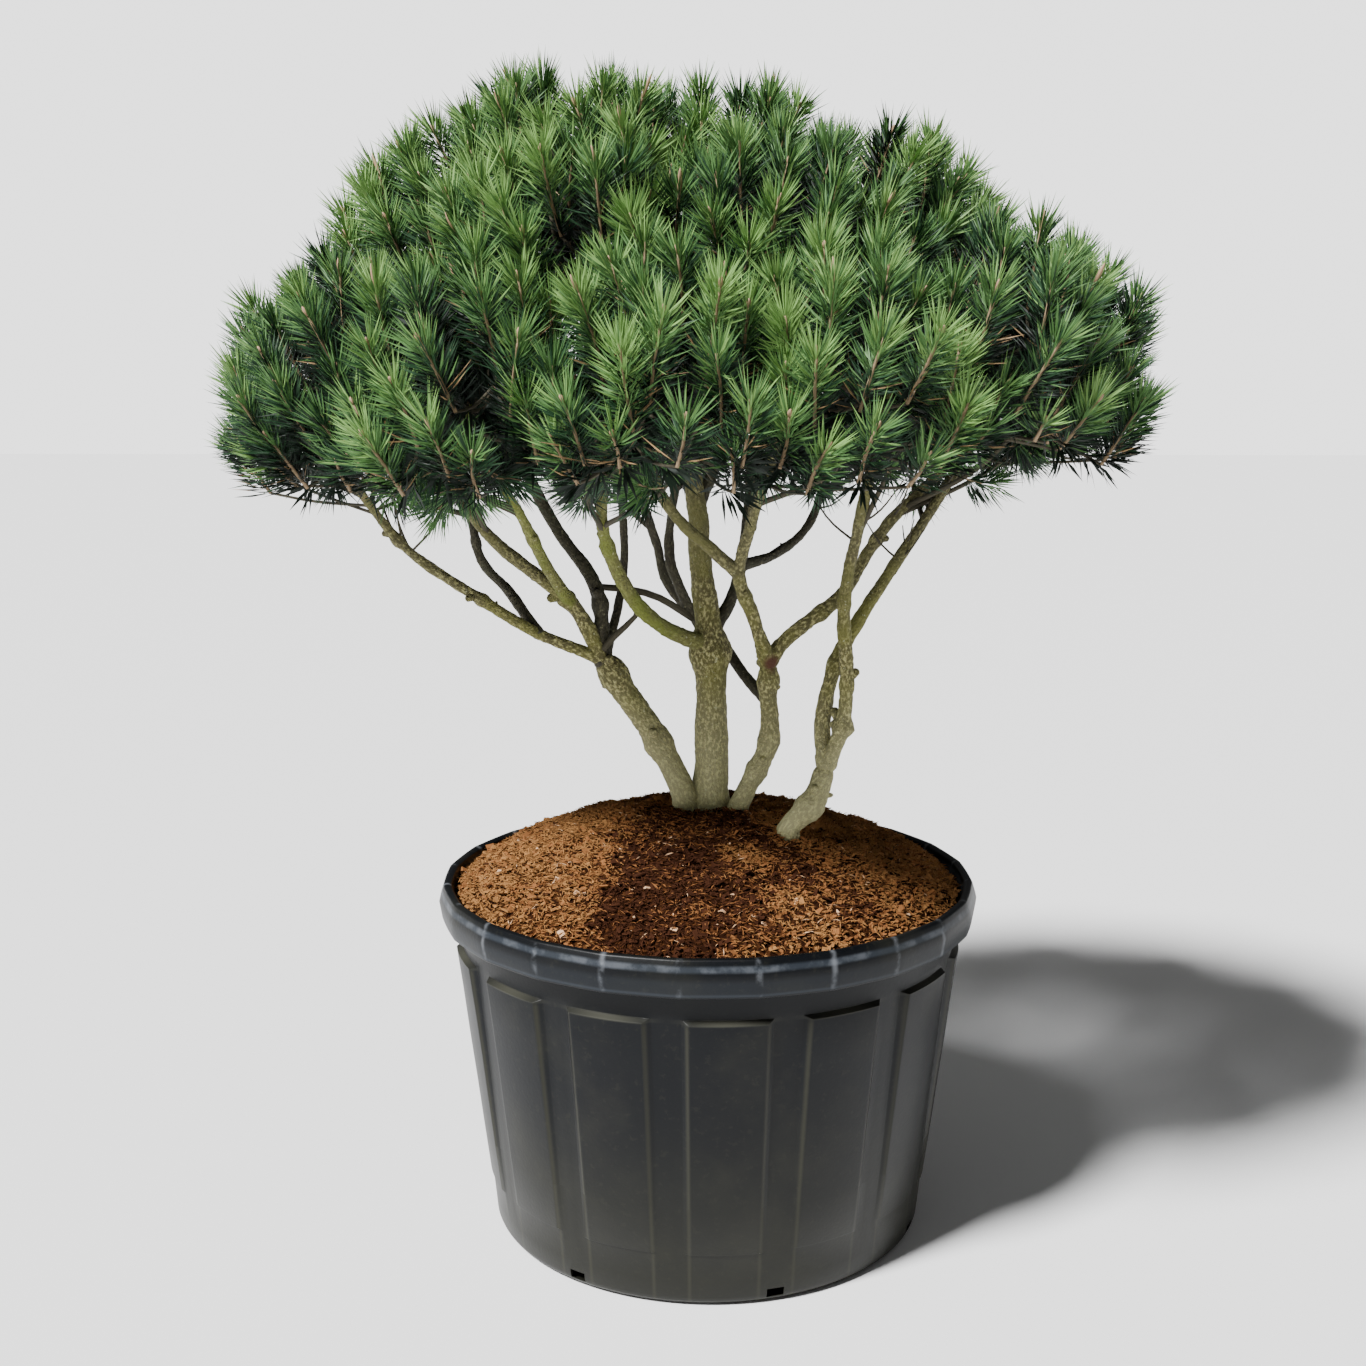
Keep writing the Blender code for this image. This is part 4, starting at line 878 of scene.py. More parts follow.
# %% The limbs, in the order they grow
Limb = namedtuple("Limb", "name parent along bends tip radii knobs bark")
LIMBS = [
    Limb("trunk", None, (0.004, 0.0),
         [(0.006, 0.0, 0.76), (0.003, 0.0, 0.90), (-0.012, 0.0, 1.04), (-0.020, 0.0, 1.14),
          (-0.05, 0.0, 1.30)],
         (-0.12, 0.0, 1.43), (0.038, 0.0285, 0.006), [(0.322, 1.42), (0.350, 1.22)], "plain"),
    Limb("stem_left", None, (-0.032, -0.012),
         [(-0.046, -0.014, 0.70), (-0.084, -0.02, 0.775), (-0.127, -0.03, 0.844)],
         (-0.166, -0.04, 0.903), (0.023, 0.0190, 0.0175), [(0.47, 1.25), (0.92, 1.32)], "plain"),
    Limb("stem_middle", None, (0.046, -0.022),
         [(0.061, -0.024, 0.69), (0.092, -0.03, 0.76), (0.092, -0.03, 0.84)],
         (0.090, -0.038, 0.897), (0.018, 0.0145, 0.0135), [(0.35, 1.25), (0.55, 1.2), (0.93, 1.25)], "plain"),
    Limb("stem_right", None, (0.122, -0.10),
         [(0.160, -0.092, 0.69)],
         (0.180, -0.082, 0.748), (0.019, 0.0165, 0.0165), [(0.55, 1.25)], "plain"),
    Limb("bough_left_low", "stem_left", 0.96,
         [(-0.254, -0.07, 0.938), (-0.345, -0.10, 1.00), (-0.435, -0.12, 1.067), (-0.495, -0.115, 1.14)],
         (-0.55, -0.065, 1.205), (0.0095, 0.0055), [(0.42, 1.35), (0.70, 1.4)], "plain"),
    Limb("bough_left_front", "stem_left", 0.96,
         [(-0.203, -0.06, 0.98), (-0.304, -0.12, 1.075), (-0.36, -0.16, 1.15)],
         (-0.435, -0.19, 1.225), (0.0125, 0.006), [(0.28, 1.3)], "plain"),
    Limb("bough_upper_left", "stem_left", 0.96,
         [(-0.168, -0.03, 1.00), (-0.23, -0.01, 1.09), (-0.285, 0.0, 1.20), (-0.315, 0.005, 1.32)],
         (-0.33, 0.005, 1.43), (0.011, 0.006), [(0.17, 1.3)], "dark"),
    Limb("bough_upper_rear_left", "stem_left", 0.96,
         [(-0.138, 0.01, 0.965), (-0.130, 0.06, 1.06), (-0.15, 0.12, 1.22)],
         (-0.185, 0.175, 1.41), (0.007, 0.005), [], "dark"),
    Limb("bough_left_mossy", "bough_left_front", 0.22,
         [(-0.235, -0.14, 1.05), (-0.262, -0.22, 1.13)],
         (-0.305, -0.30, 1.215), (0.0095, 0.006), [(0.5, 1.2)], "mossy"),
    Limb("bough_left_rear", "bough_left_low", 0.20,
         [(-0.30, -0.03, 0.995), (-0.345, 0.0, 1.04), (-0.370, 0.04, 1.12)],
         (-0.435, 0.15, 1.23), (0.008, 0.0055), [(0.45, 1.3)], "dark"),
    Limb("bough_front_mossy", "trunk", 0.315,
         [(-0.065, -0.06, 0.945), (-0.114, -0.10, 1.00), (-0.148, -0.17, 1.10)],
         (-0.135, -0.35, 1.225), (0.0125, 0.0065), [(0.55, 1.25)], "mossy"),
    Limb("bough_rear", "trunk", 0.325,
         [(-0.045, 0.06, 0.99), (-0.062, 0.12, 1.06)],
         (-0.040, 0.32, 1.225), (0.009, 0.006), [], "dark"),
    Limb("bough_upper_rear_right", "trunk", 0.335,
         [(0.035, 0.03, 0.975), (0.055, 0.07, 1.05), (0.068, 0.12, 1.20)],
         (0.072, 0.165, 1.41), (0.010, 0.006), [], "dark"),
    Limb("bough_rear_right", "bough_upper_rear_right", 0.24,
         [(0.105, 0.12, 1.035), (0.165, 0.20, 1.08)],
         (0.215, 0.30, 1.205), (0.008, 0.0055), [], "dark"),
    Limb("bough_upper_right", "trunk", 0.58,
         [(0.02, 0.02, 1.20), (0.08, 0.02, 1.31)],
         (0.16, 0.01, 1.43), (0.009, 0.006), [], "dark"),
    Limb("bough_leader", "trunk", 0.72,
         [(-0.03, -0.02, 1.36)],
         (-0.01, -0.01, 1.47), (0.008, 0.0055), [], "dark"),
    Limb("bough_middle_right", "stem_middle", 0.97,
         [(0.125, -0.03, 0.93), (0.201, 0.0, 0.985), (0.245, 0.03, 1.05), (0.282, 0.04, 1.10),
          (0.368, 0.04, 1.185)],
         (0.430, 0.0, 1.265), (0.011, 0.0065), [(0.22, 1.25), (0.50, 1.35)], "plain"),
    Limb("bough_middle_front", "stem_middle", 0.97,
         [(0.068, -0.075, 0.96), (0.045, -0.11, 1.03), (0.058, -0.16, 1.10)],
         (0.090, -0.31, 1.225), (0.011, 0.006), [(0.3, 1.2)], "plain"),
    Limb("bough_crossing", "bough_middle_front", 0.38,
         [(0.005, -0.13, 1.07), (-0.06, -0.16, 1.14), (-0.105, -0.19, 1.27)],
         (-0.165, -0.19, 1.41), (0.009, 0.006), [], "plain"),
    Limb("bough_upper_front", "bough_middle_front", 0.58,
         [(0.070, -0.19, 1.18), (0.070, -0.20, 1.29)],
         (0.078, -0.195, 1.40), (0.007, 0.0055), [], "plain"),
    Limb("bough_middle_rear", "stem_middle", 0.72,
         [(0.055, 0.02, 0.86), (0.010, 0.060, 0.92), (-0.060, 0.085, 0.985), (-0.085, 0.12, 1.06),
          (-0.12, 0.19, 1.13)],
         (-0.225, 0.30, 1.235), (0.0085, 0.0055), [], "dark"),
    Limb("bough_right_low", "stem_right", 0.95,
         [(0.172, -0.065, 0.80), (0.188, -0.06, 0.88), (0.225, -0.045, 0.955), (0.335, 0.02, 1.11)],
         (0.415, 0.105, 1.225), (0.0125, 0.0065), [(0.28, 1.2)], "plain"),
    Limb("bough_right_upright", "stem_right", 0.95,
         [(0.200, -0.09, 0.80), (0.205, -0.10, 0.88), (0.198, -0.115, 0.99), (0.219, -0.15, 1.13)],
         (0.250, -0.225, 1.305), (0.0115, 0.0065), [(0.13, 1.65), (0.24, 1.3), (0.45, 1.2)], "plain"),
]
print(len(LIMBS), "limbs")

# %% [markdown]
# ### Where each mass of needles sits
#
# The crown is a low outer ring of masses, a higher inner ring and two on top. Each mass belongs to one
# bough, and is an ellipsoid round its centre. These are the CAD model's own values, so what grows here
# fills the same space.

# %% The masses of the crown
Mass = namedtuple("Mass", "name bough centre reach places")
CROWN_CENTRE = (-0.035, 0.0)
OUTER_RING = (0.505, 0.44)
OUTER_HEIGHT = 1.305
OUTER_REACH = (0.175, 0.175, 0.195)
INNER_CENTRE = (-0.06, 0.0)
INNER_RING = (0.28, 0.24)
INNER_HEIGHT = 1.50
INNER_REACH = (0.190, 0.190, 0.165)
TOP_REACH = (0.21, 0.20, 0.160)
OUTER = [
    ("needles_left", "bough_left_low", 180, 1.0, 0.0),
    ("needles_left_front", "bough_left_front", 208, 1.0, -0.01),
    ("needles_front_left", "bough_left_mossy", 238, 1.0, 0.0),
    ("needles_front", "bough_front_mossy", 268, 1.0, 0.0),
    ("needles_front_middle", "bough_middle_front", 294, 1.0, 0.01),
    ("needles_front_right", "bough_right_upright", 322, 1.0, 0.05),
    ("needles_right", "bough_middle_right", 352, 1.0, 0.01),
    ("needles_right_rear", "bough_right_low", 25, 1.0, 0.0),
    ("needles_rear_right", "bough_rear_right", 57, 1.0, -0.01),
    ("needles_rear", "bough_rear", 88, 1.0, 0.0),
    ("needles_rear_left", "bough_middle_rear", 120, 1.0, 0.01),
    ("needles_left_rear", "bough_left_rear", 150, 1.0, -0.01),
]
INNER = [
    ("needles_upper_left", "bough_upper_left", 180, 1.05, 0.02),
    ("needles_upper_front_left", "bough_crossing", 240, 1.0, -0.01),
    ("needles_upper_front_right", "bough_upper_front", 300, 1.0, -0.01),
    ("needles_upper_right", "bough_upper_right", 0, 1.05, 0.02),
    ("needles_upper_rear_right", "bough_upper_rear_right", 60, 1.0, -0.01),
    ("needles_upper_rear_left", "bough_upper_rear_left", 120, 1.0, 0.0),
]


def ring_masses(ring, centre, radii, height, reach):
    """Masses round an ellipse, by azimuth in degrees from +X, stretch of the ring there, and lift."""
    found = []
    for name, bough, azimuth, stretch, lift in ring:
        turn = math.radians(azimuth)
        x = centre[0] + radii[0] * stretch * math.cos(turn)
        y = centre[1] + radii[1] * stretch * math.sin(turn)
        found.append(Mass(name, bough, Vector((x, y, height + lift)), reach, 18))
    return found


masses = ring_masses(OUTER, CROWN_CENTRE, OUTER_RING, OUTER_HEIGHT, OUTER_REACH)
masses += ring_masses(INNER, INNER_CENTRE, INNER_RING, INNER_HEIGHT, INNER_REACH)
masses.append(Mass("needles_top_left", "trunk", Vector((-0.18, -0.06, 1.59)), TOP_REACH, 24))
masses.append(Mass("needles_top_right", "bough_leader", Vector((0.02, 0.06, 1.59)), TOP_REACH, 24))
mass_of_bough = {mass.bough: mass for mass in masses}
print(len(masses), "masses of needles")

# %% [markdown]
# ### The limbs' lines and girth
#
# A limb's line is a Catmull-Rom curve: it passes through every bend with no corner. The girth falls
# evenly from foot to tip. It flares at the ground, swells at the collar where a bough leaves its parent,
# and bulges at each knob, the healed scar of a lost twig.

# %% Lines of the limbs
LIMB_STEP = 0.005
GROUND = 0.6583
HEAP_GROUND = 0.6483
FLARE_LENGTH = 0.05
COLLAR_SHARE = 0.85
COLLAR_REACH = 0.030
KNOB_SPREAD = 1.0
KNOB_LEAST = 0.009
BASE_REACH = 0.95
BASE_LEAST = 0.35
HUB_RADIUS = 0.0036


def smooth_path(points, step):
    """A smooth curve through the points, read about every step."""
    ends = [points[0] * 2.0 - points[1]] + points + [points[-1] * 2.0 - points[-2]]
    path = [points[0].copy()]
    for a, b, c, d in zip(ends, ends[1:], ends[2:], ends[3:]):
        steps = max(1, round((c - b).length / step))
        for i in range(1, steps + 1):
            t = i / steps
            path.append(0.5 * (2.0 * b + (c - a) * t + (2.0 * a - 5.0 * b + 4.0 * c - d) * t * t
                               + (3.0 * b - a - 3.0 * c + d) * t * t * t))
    return path


def lengths_along(path):
    """The distance from the start to each point of a path."""
    steps = np.linalg.norm(np.diff(np.array(path), axis=0), axis=1)
    return np.concatenate([[0.0], np.cumsum(steps)])


def point_along(path, share):
    """The point at a share of a path's length."""
    lengths = lengths_along(path)
    places = np.array(path)
    goal = share * lengths[-1]
    return Vector([np.interp(goal, lengths, places[:, axis]) for axis in range(3)])


def limb_line(limb, start):
    """The bare part of a limb's line, which ends where its CAD solid ends."""
    return smooth_path([start] + [Vector(bend) for bend in limb.bends] + [Vector(limb.tip)], LIMB_STEP)


def crown_line(limb, line):
    """How a bough goes on from its tip to the hub of its mass, where its twigs part."""
    mass = mass_of_bough[limb.name]
    onward = (line[-1] - line[-2]).normalized()
    hub = mass.centre - Vector((0.0, 0.0, mass.reach[2] * 0.1))
    bend = line[-1] + onward * (hub - line[-1]).length * 0.45
    return smooth_path([line[-1], bend, hub], LIMB_STEP)[1:]


def girth(limb, line, bare_length, parent_radius):
    """The radius at each point of a limb's line. It grows out of its parent as a wide, rounded collar."""
    lengths = lengths_along(line)
    share = np.clip(lengths / bare_length, 0.0, 1.0)
    foot, tip = limb.radii[0], limb.radii[-1]
    from_start = np.clip(1.0 - lengths / FLARE_LENGTH, 0.0, 1.0)
    if len(limb.radii) > 2:
        radius = limb.radii[1] + (tip - limb.radii[1]) * share + (foot - limb.radii[1]) * from_start ** 2
    else:
        collar = max(parent_radius * COLLAR_SHARE - foot, foot * 0.3)
        radius = foot + (tip - foot) * share + collar * np.exp(-(lengths / COLLAR_REACH) ** 1.6)
        dome = np.clip(lengths / (parent_radius * BASE_REACH), 0.0, 1.0)
        radius *= BASE_LEAST + (1.0 - BASE_LEAST) * np.sqrt(dome * (2.0 - dome))
    beyond = np.clip((lengths - bare_length) / max(lengths[-1] - bare_length, 0.001), 0.0, 1.0)
    radius = radius + (HUB_RADIUS - tip) * beyond
    swelling = np.ones(len(lengths))
    for knob, swell in limb.knobs:
        spread = np.maximum(KNOB_LEAST, radius * KNOB_SPREAD)
        away = (lengths - knob * bare_length) / spread
        swelling += (swell - 1.0) * 1.15 * np.exp(-away * away)
    return radius * swelling


# %% [markdown]
# ### Bark
#
# A ring of points is carried along the line without twisting, so the relief doesn't spiral. Three layers
# of noise shape it: slow swellings that break the perfect round, scaly plates a centimetre long, and a
# fine roughness. A short dead stub stands at each knob, and one more somewhere along the limb.

# %% A tube with relief
BARK_STRETCH = 1.5
BARK_SLOW = (26.0, 0.0026)
BARK_PLATES = (120.0, 0.0024)
BARK_FINE = (340.0, 0.0011)


def carried_frames(path):
    """Two directions square to a path at each of its points, carried along it without twisting."""
    places = np.array(path)
    tangents = np.gradient(places, axis=0)
    tangents /= np.linalg.norm(tangents, axis=1)[:, None]
    side = Vector(tangents[0]).orthogonal().normalized()
    sides = []
    for tangent in tangents:
        side = side - Vector(tangent) * side.dot(Vector(tangent))
        side.normalize()
        sides.append(tuple(side))
    sides = np.array(sides)
    return tangents, sides, np.cross(tangents, sides)


def tube_arrays(path, radii, count):
    """Points (rings, sides, 3) of a tube, and how far each stands out as a unit direction."""
    _, sides, crosses = carried_frames(path)
    turns = np.arange(count) * math.tau / count
    out = sides[:, None] * np.cos(turns)[None, :, None] + crosses[:, None] * np.sin(turns)[None, :, None]
    return np.array(path)[:, None] + out * np.asarray(radii)[:, None, None], out


def limb_places(path, radii, count):
    """Coordinates along a tube: across it as they are, along it drawn together, so patterns stretch."""
    turns = np.arange(count) * math.tau / count
    places = np.zeros((len(path), count, 3))
    places[:, :, 0] = np.outer(radii, np.cos(turns))
    places[:, :, 1] = np.outer(radii, np.sin(turns))
    places[:, :, 2] = (lengths_along(path) / BARK_STRETCH)[:, None]
    return places.reshape(-1, 3)


def bark_relief(points, girths):
    """How far the bark stands out at each point of a tube."""
    relief = np.zeros(points.shape[:2])
    for ring in range(points.shape[0]):
        slim = min(1.0, girths[ring] / 0.014)
        for i in range(points.shape[1]):
            place = Vector(points[ring, i])
            relief[ring, i] = noise.noise(place * BARK_SLOW[0]) * BARK_SLOW[1]
            relief[ring, i] += (0.35 - abs(noise.noise(place * BARK_PLATES[0]))) * BARK_PLATES[1]
            relief[ring, i] += noise.noise(place * BARK_FINE[0]) * BARK_FINE[1]
        relief[ring] *= slim
    return relief


def tube_faces(rings, count, first=0):
    """Four-cornered faces of a tube's wall, counted from a first point."""
    ring = np.arange(rings - 1)[:, None] * count
    turn = np.arange(count)[None]
    onward = (turn + 1) % count
    corners = [ring + turn, ring + onward, ring + count + onward, ring + count + turn]
    return first + np.stack([corner.reshape(-1) for corner in corners], axis=1)


def mesh_piece(name, points, faces, material):
    """A piece from points and a list of faces, smooth all over, riding on the plant."""
    mesh = bpy.data.meshes.new(name)
    mesh.from_pydata(points, [], faces)
    mesh.materials.append(material)
    mesh.shade_smooth()
    piece = bpy.data.objects.new(name, mesh)
    bpy.context.scene.collection.objects.link(piece)
    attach(piece, "root")
    return piece


# %% [markdown]
# ### Finish of the bark
#
# Mugo bark is grey-brown, paler and greyer where it is dry, with an olive film of algae, yellow-green
# moss on the shaded boughs and pale dots of lichen. Fine dark cracks follow the wood. One function makes
# the three barks, from plain to mossy to dark; the dark bark is a darker copy, as painted shade for the
# boughs in the crown's shade. The plain bark is painted paler at the stems' feet, as painted light, and
# darker higher up, as painted shade of the crown, and at the middle stem's fork a rubbed patch is reddish.

# %% Three barks
BARK_CRACK = (0.030, 0.024, 0.012)
LICHEN = (0.420, 0.430, 0.250)
# Painted light for the stems' feet, and painted shade higher up under the crown.
PAINTED_FOOT_LIGHT = (0.640, 0.620, 0.340)
PAINTED_CROWN_SHADE = (0.066, 0.060, 0.026)
RED_PATCH = (0.075, 0.026, 0.012)
RED_PATCH_PLACE = (0.098, -0.055, 0.888)
RED_PATCH_RADIUS = 0.020
# The dark bark is painted shade: a darker copy for the boughs in the crown's shade.
BARKS = {
    "plain": ((0.088, 0.078, 0.026), (0.450, 0.420, 0.175), (0.150, 0.150, 0.026), 0.85),
    "mossy": ((0.115, 0.114, 0.030), (0.210, 0.215, 0.065), (0.130, 0.160, 0.016), 0.75),
    "dark": ((0.030, 0.026, 0.014), (0.075, 0.066, 0.038), (0.035, 0.038, 0.012), 0.40),
}
LICHEN_SHARE = {"plain": 0.7, "mossy": 0.6, "dark": 0.25}


def bark_material(kind):
    """The material of one of the three barks."""
    base, dry, moss, moss_share = BARKS[kind]
    material = plain_material(f"bark_{kind}", base, 0.85)
    patches = add_group(material, limb_blotches, Size=0.0042, Cover=0.55, Softness=0.22)
    film = add_group(material, blotches, Size=0.07, Cover=0.60, Softness=0.25)
    cracks = add_group(material, limb_blotches, Size=0.0027, Cover=0.43, Softness=0.10)
    dots = add_group(material, blotches, Size=0.0070, Cover=0.36, Softness=0.04)
    colour = mix_over(material, base, dry, patches.outputs["Mask"])
    upper = height_mask(material, 0.72, 0.98)
    mossy = times(material, times(material, film.outputs["Mask"], upper), moss_share)
    colour = mix_over(material, colour, moss, mossy)
    colour = layer(material, colour, BARK_CRACK, cracks.outputs["Mask"], 0.7)
    colour = layer(material, colour, LICHEN, dots.outputs["Mask"], LICHEN_SHARE[kind])
    if kind == "plain":
        # Painted shade higher up under the crown, and painted light at the stems' feet.
        high = height_mask(material, 0.90, 1.10)
        colour = layer(material, colour, PAINTED_CROWN_SHADE, high, 0.55)
        pale = height_mask(material, 0.90, 0.68)
        colour = layer(material, colour, PAINTED_FOOT_LIGHT, pale, 0.42)
        red = spot_mask(material, RED_PATCH_PLACE, RED_PATCH_RADIUS)
        colour = mix_over(material, colour, RED_PATCH, red)
    set_colour(material, colour)
    rough = add_group(material, limb_grain, Size=0.0036)
    add_bump(material, rough.outputs["Height"], 0.004, 1.0)
    return material


bark_materials = {kind: bark_material(kind) for kind in BARKS}


# %% Grow the limbs
EXTRA_STUBS = 1


def stub_arrays(line, radii, share, turn, scale, count=8):
    """A short dead stub that stands out of a limb, bent a little towards its tip."""
    index = min(int(share * len(line)), len(line) - 2)
    tangents, sides, crosses = carried_frames(line)
    out = sides[index] * math.cos(turn) + crosses[index] * math.sin(turn)
    start = np.array(line[index]) + out * radii[index] * 0.5
    length = radii[index] * 0.75 + 0.004 * scale
    way = out * 0.85 + tangents[index] * 0.5
    path = [Vector(start + way * length * step) for step in (0.0, 0.5, 0.8, 1.0)]
    wide = min(radii[index] * 0.5, 0.0075) * scale
    points, _ = tube_arrays(path, [wide * 1.25, wide, wide * 0.9, wide * 0.35], count)
    return points


limb_lines = {}
limb_girths = {}
for limb in LIMBS:
    parent_radius = 0.0
    if limb.parent:
        start = point_along(limb_lines[limb.parent], limb.along)
        parent_girths = limb_girths[limb.parent]
        joint = int(limb.along * (len(limb_lines[limb.parent]) - 1))
        parent_radius = parent_girths[joint]
        parent_way = (limb_lines[limb.parent][joint] - limb_lines[limb.parent][joint - 1]).normalized()
    else:
        ground = HEAP_GROUND if limb.name == "stem_right" else GROUND
        start = Vector((*limb.along, ground))
    line = limb_line(limb, start)
    limb_lines[limb.name] = line
    bare_length = lengths_along(line)[-1]
    whole = line + crown_line(limb, line) if limb.name in mass_of_bough else list(line)
    if limb.parent:
        way = (line[1] - line[0]).normalized()
        depth = parent_radius * max(way.dot(parent_way), 0.0)
        whole = [start - way * depth * share for share in (1.0, 0.66, 0.33)] + whole
    else:
        whole = [start - Vector((0.0, 0.0, 0.02))] + whole
    radii = girth(limb, whole, bare_length, parent_radius)
    if limb.name not in mass_of_bough:
        onward = (whole[-1] - whole[-2]).normalized() * radii[-1]
        whole += [whole[-1] + onward * 0.35, whole[-1] + onward * 0.6, whole[-1] + onward * 0.72]
        radii = np.append(radii, radii[-1] * np.array([0.9, 0.62, 0.25]))
    limb_girths[limb.name] = radii
    sides = 28 if limb.name == "trunk" else 22 if not limb.parent else 16
    points, out = tube_arrays(whole, radii, sides)
    points += out * bark_relief(points, radii)[:, :, None]
    faces = tube_faces(len(whole), sides).tolist()
    faces.append(list(range(sides))[::-1])
    faces.append([(len(whole) - 1) * sides + i for i in range(sides)])
    parts = [points.reshape(-1, 3)]
    places = [limb_places(whole, radii, sides)]
    twist = random.Random(limb.name)
    stubs = [(knob, 1.0) for knob, _ in limb.knobs]
    stubs += [(twist.uniform(0.12, 0.9), 0.55) for _ in range(EXTRA_STUBS)]
    for share, scale in stubs:
        stub = stub_arrays(line, radii, share, twist.uniform(0.0, math.tau), scale)
        first = sum(len(part) for part in parts)
        faces += tube_faces(stub.shape[0], stub.shape[1], first).tolist()
        faces.append([first + i for i in range(stub.shape[1])][::-1])
        faces.append([first + (stub.shape[0] - 1) * stub.shape[1] + i for i in range(stub.shape[1])])
        parts.append(stub.reshape(-1, 3))
        places.append(stub.reshape(-1, 3))
    piece = mesh_piece(f"bark_{limb.name}", np.concatenate(parts), faces, bark_materials[limb.bark])
    own_places = piece.data.attributes.new(LIMB_PLACE, "FLOAT_VECTOR", "POINT")
    own_places.data.foreach_set("vector", np.concatenate(places).reshape(-1))
    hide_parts(limb.name)
limb_faces = sum(len(bpy.data.objects[f"bark_{limb.name}"].data.polygons) for limb in LIMBS)
print("limbs grown,", limb_faces, "faces")

# %% [markdown]
# ## Shoots
#
# Each mass is a bunch of upright shoots like bottle brushes. Their tips are spread over the mass by the
# CAD model's rule: evenly over a ball by the golden angle, drawn in where a neighbour's space begins,
# left out where a neighbour would bury them. The same rule runs a second time with more places, to set
# shoots between the first ones. Each shoot leans a little at random, and the masses hang lower at the
# front and at the sides. Where the crown's outline stands proud, a few shoots are placed one by one.

# %% Where the shoots stand
SEAM_DEPTH = 0.016
SEAM_SHIFT = 0.05
BURIED_SHARE = 0.92
LOWEST_DIRECTION = -0.52
SHOOT_LENGTH = 0.165
SHOOT_LEAN = 0.34
LOW_SHOOT_LEAN = 0.46
MOST_LEAN = math.radians(40.0)
LEAN_SHIFT = 0.4
LEAN_NOISE = 0.20
SHORTEST_SHOOT = 0.055
MORE_PLACES = 70
MORE_SPACING = 0.051
UNDERSIDE = 0.40
SIDE_DROOP = 0.45
FRONT_DROOP = 0.40
UNEVENNESS = 0.022
FURTHEST_SHOOT = 1.09
EDGE_SHOOTS = [
    ("needles_upper_left", -0.485, -0.02, 1.625), ("needles_upper_left", -0.45, -0.04, 1.655),
    ("needles_top_left", -0.405, -0.05, 1.685), ("needles_top_left", -0.36, -0.02, 1.705),
    ("needles_top_left", -0.31, -0.08, 1.725), ("needles_top_left", -0.245, -0.03, 1.742),
    ("needles_left", -0.715, -0.04, 1.235), ("needles_left", -0.705, 0.02, 1.275),
    ("needles_left", -0.685, -0.06, 1.315), ("needles_right", 0.59, -0.03, 1.485),
    ("needles_right", 0.545, 0.03, 1.515), ("needles_right", 0.625, -0.08, 1.45),
    ("needles_right", 0.645, -0.02, 1.405), ("needles_upper_right", 0.46, 0.0, 1.525),
    ("needles_upper_right", 0.41, -0.05, 1.555), ("needles_upper_right", 0.35, 0.03, 1.605),
    ("needles_upper_right", 0.29, -0.02, 1.655), ("needles_right_rear", 0.56, 0.10, 1.45),
]
Shoot = namedtuple("Shoot", "mass root tip")


def golden_directions(count, turn):
    """Directions spread evenly over a ball, turned about the vertical."""
    for i in range(count):
        z = 1.0 - 2.0 * (i + 0.4) / count
        flat = math.sqrt(max(0.0, 1.0 - z * z))
        yield Vector((flat * math.cos(GOLDEN_ANGLE * i + turn), flat * math.sin(GOLDEN_ANGLE * i + turn), z))


def drawn_in(mass, point):
    """The point moved square to the borders with the neighbours until it is inside them."""
    for other in masses:
        if other.name != mass.name:
            away = other.centre - mass.centre
            beyond = (point - mass.centre).dot(away) / away.length - away.length * 0.5 + SEAM_DEPTH
            point = point - away.normalized() * max(beyond, 0.0)
    return point


def is_buried(mass, point):
    """Whether the point is deep inside a neighbouring mass."""
    for other in masses:
        offset = [(a - b) / reach for a, b, reach in zip(point, other.centre, other.reach)]
        if other.name != mass.name and math.hypot(*offset) < BURIED_SHARE:
            return True
    return False


def leaning_axis(tip, centre, height):
    """The way a shoot points: nearly upright on top of a mass, leaning out of the crown at its foot."""
    middle = centre.lerp(Vector((*CROWN_CENTRE, centre.z)), LEAN_SHIFT)
    offset = tip - middle
    flat = Vector((offset.x, offset.y, 0.0))
    lowness = min(max(-height / 0.6, 0.0), 1.0)
    lean = math.atan2(flat.length, offset.z) * (SHOOT_LEAN + (LOW_SHOOT_LEAN - SHOOT_LEAN) * lowness)
    lean = min(lean, MOST_LEAN)
    return flat.normalized() * math.sin(lean) + Vector((0.0, 0.0, math.cos(lean)))


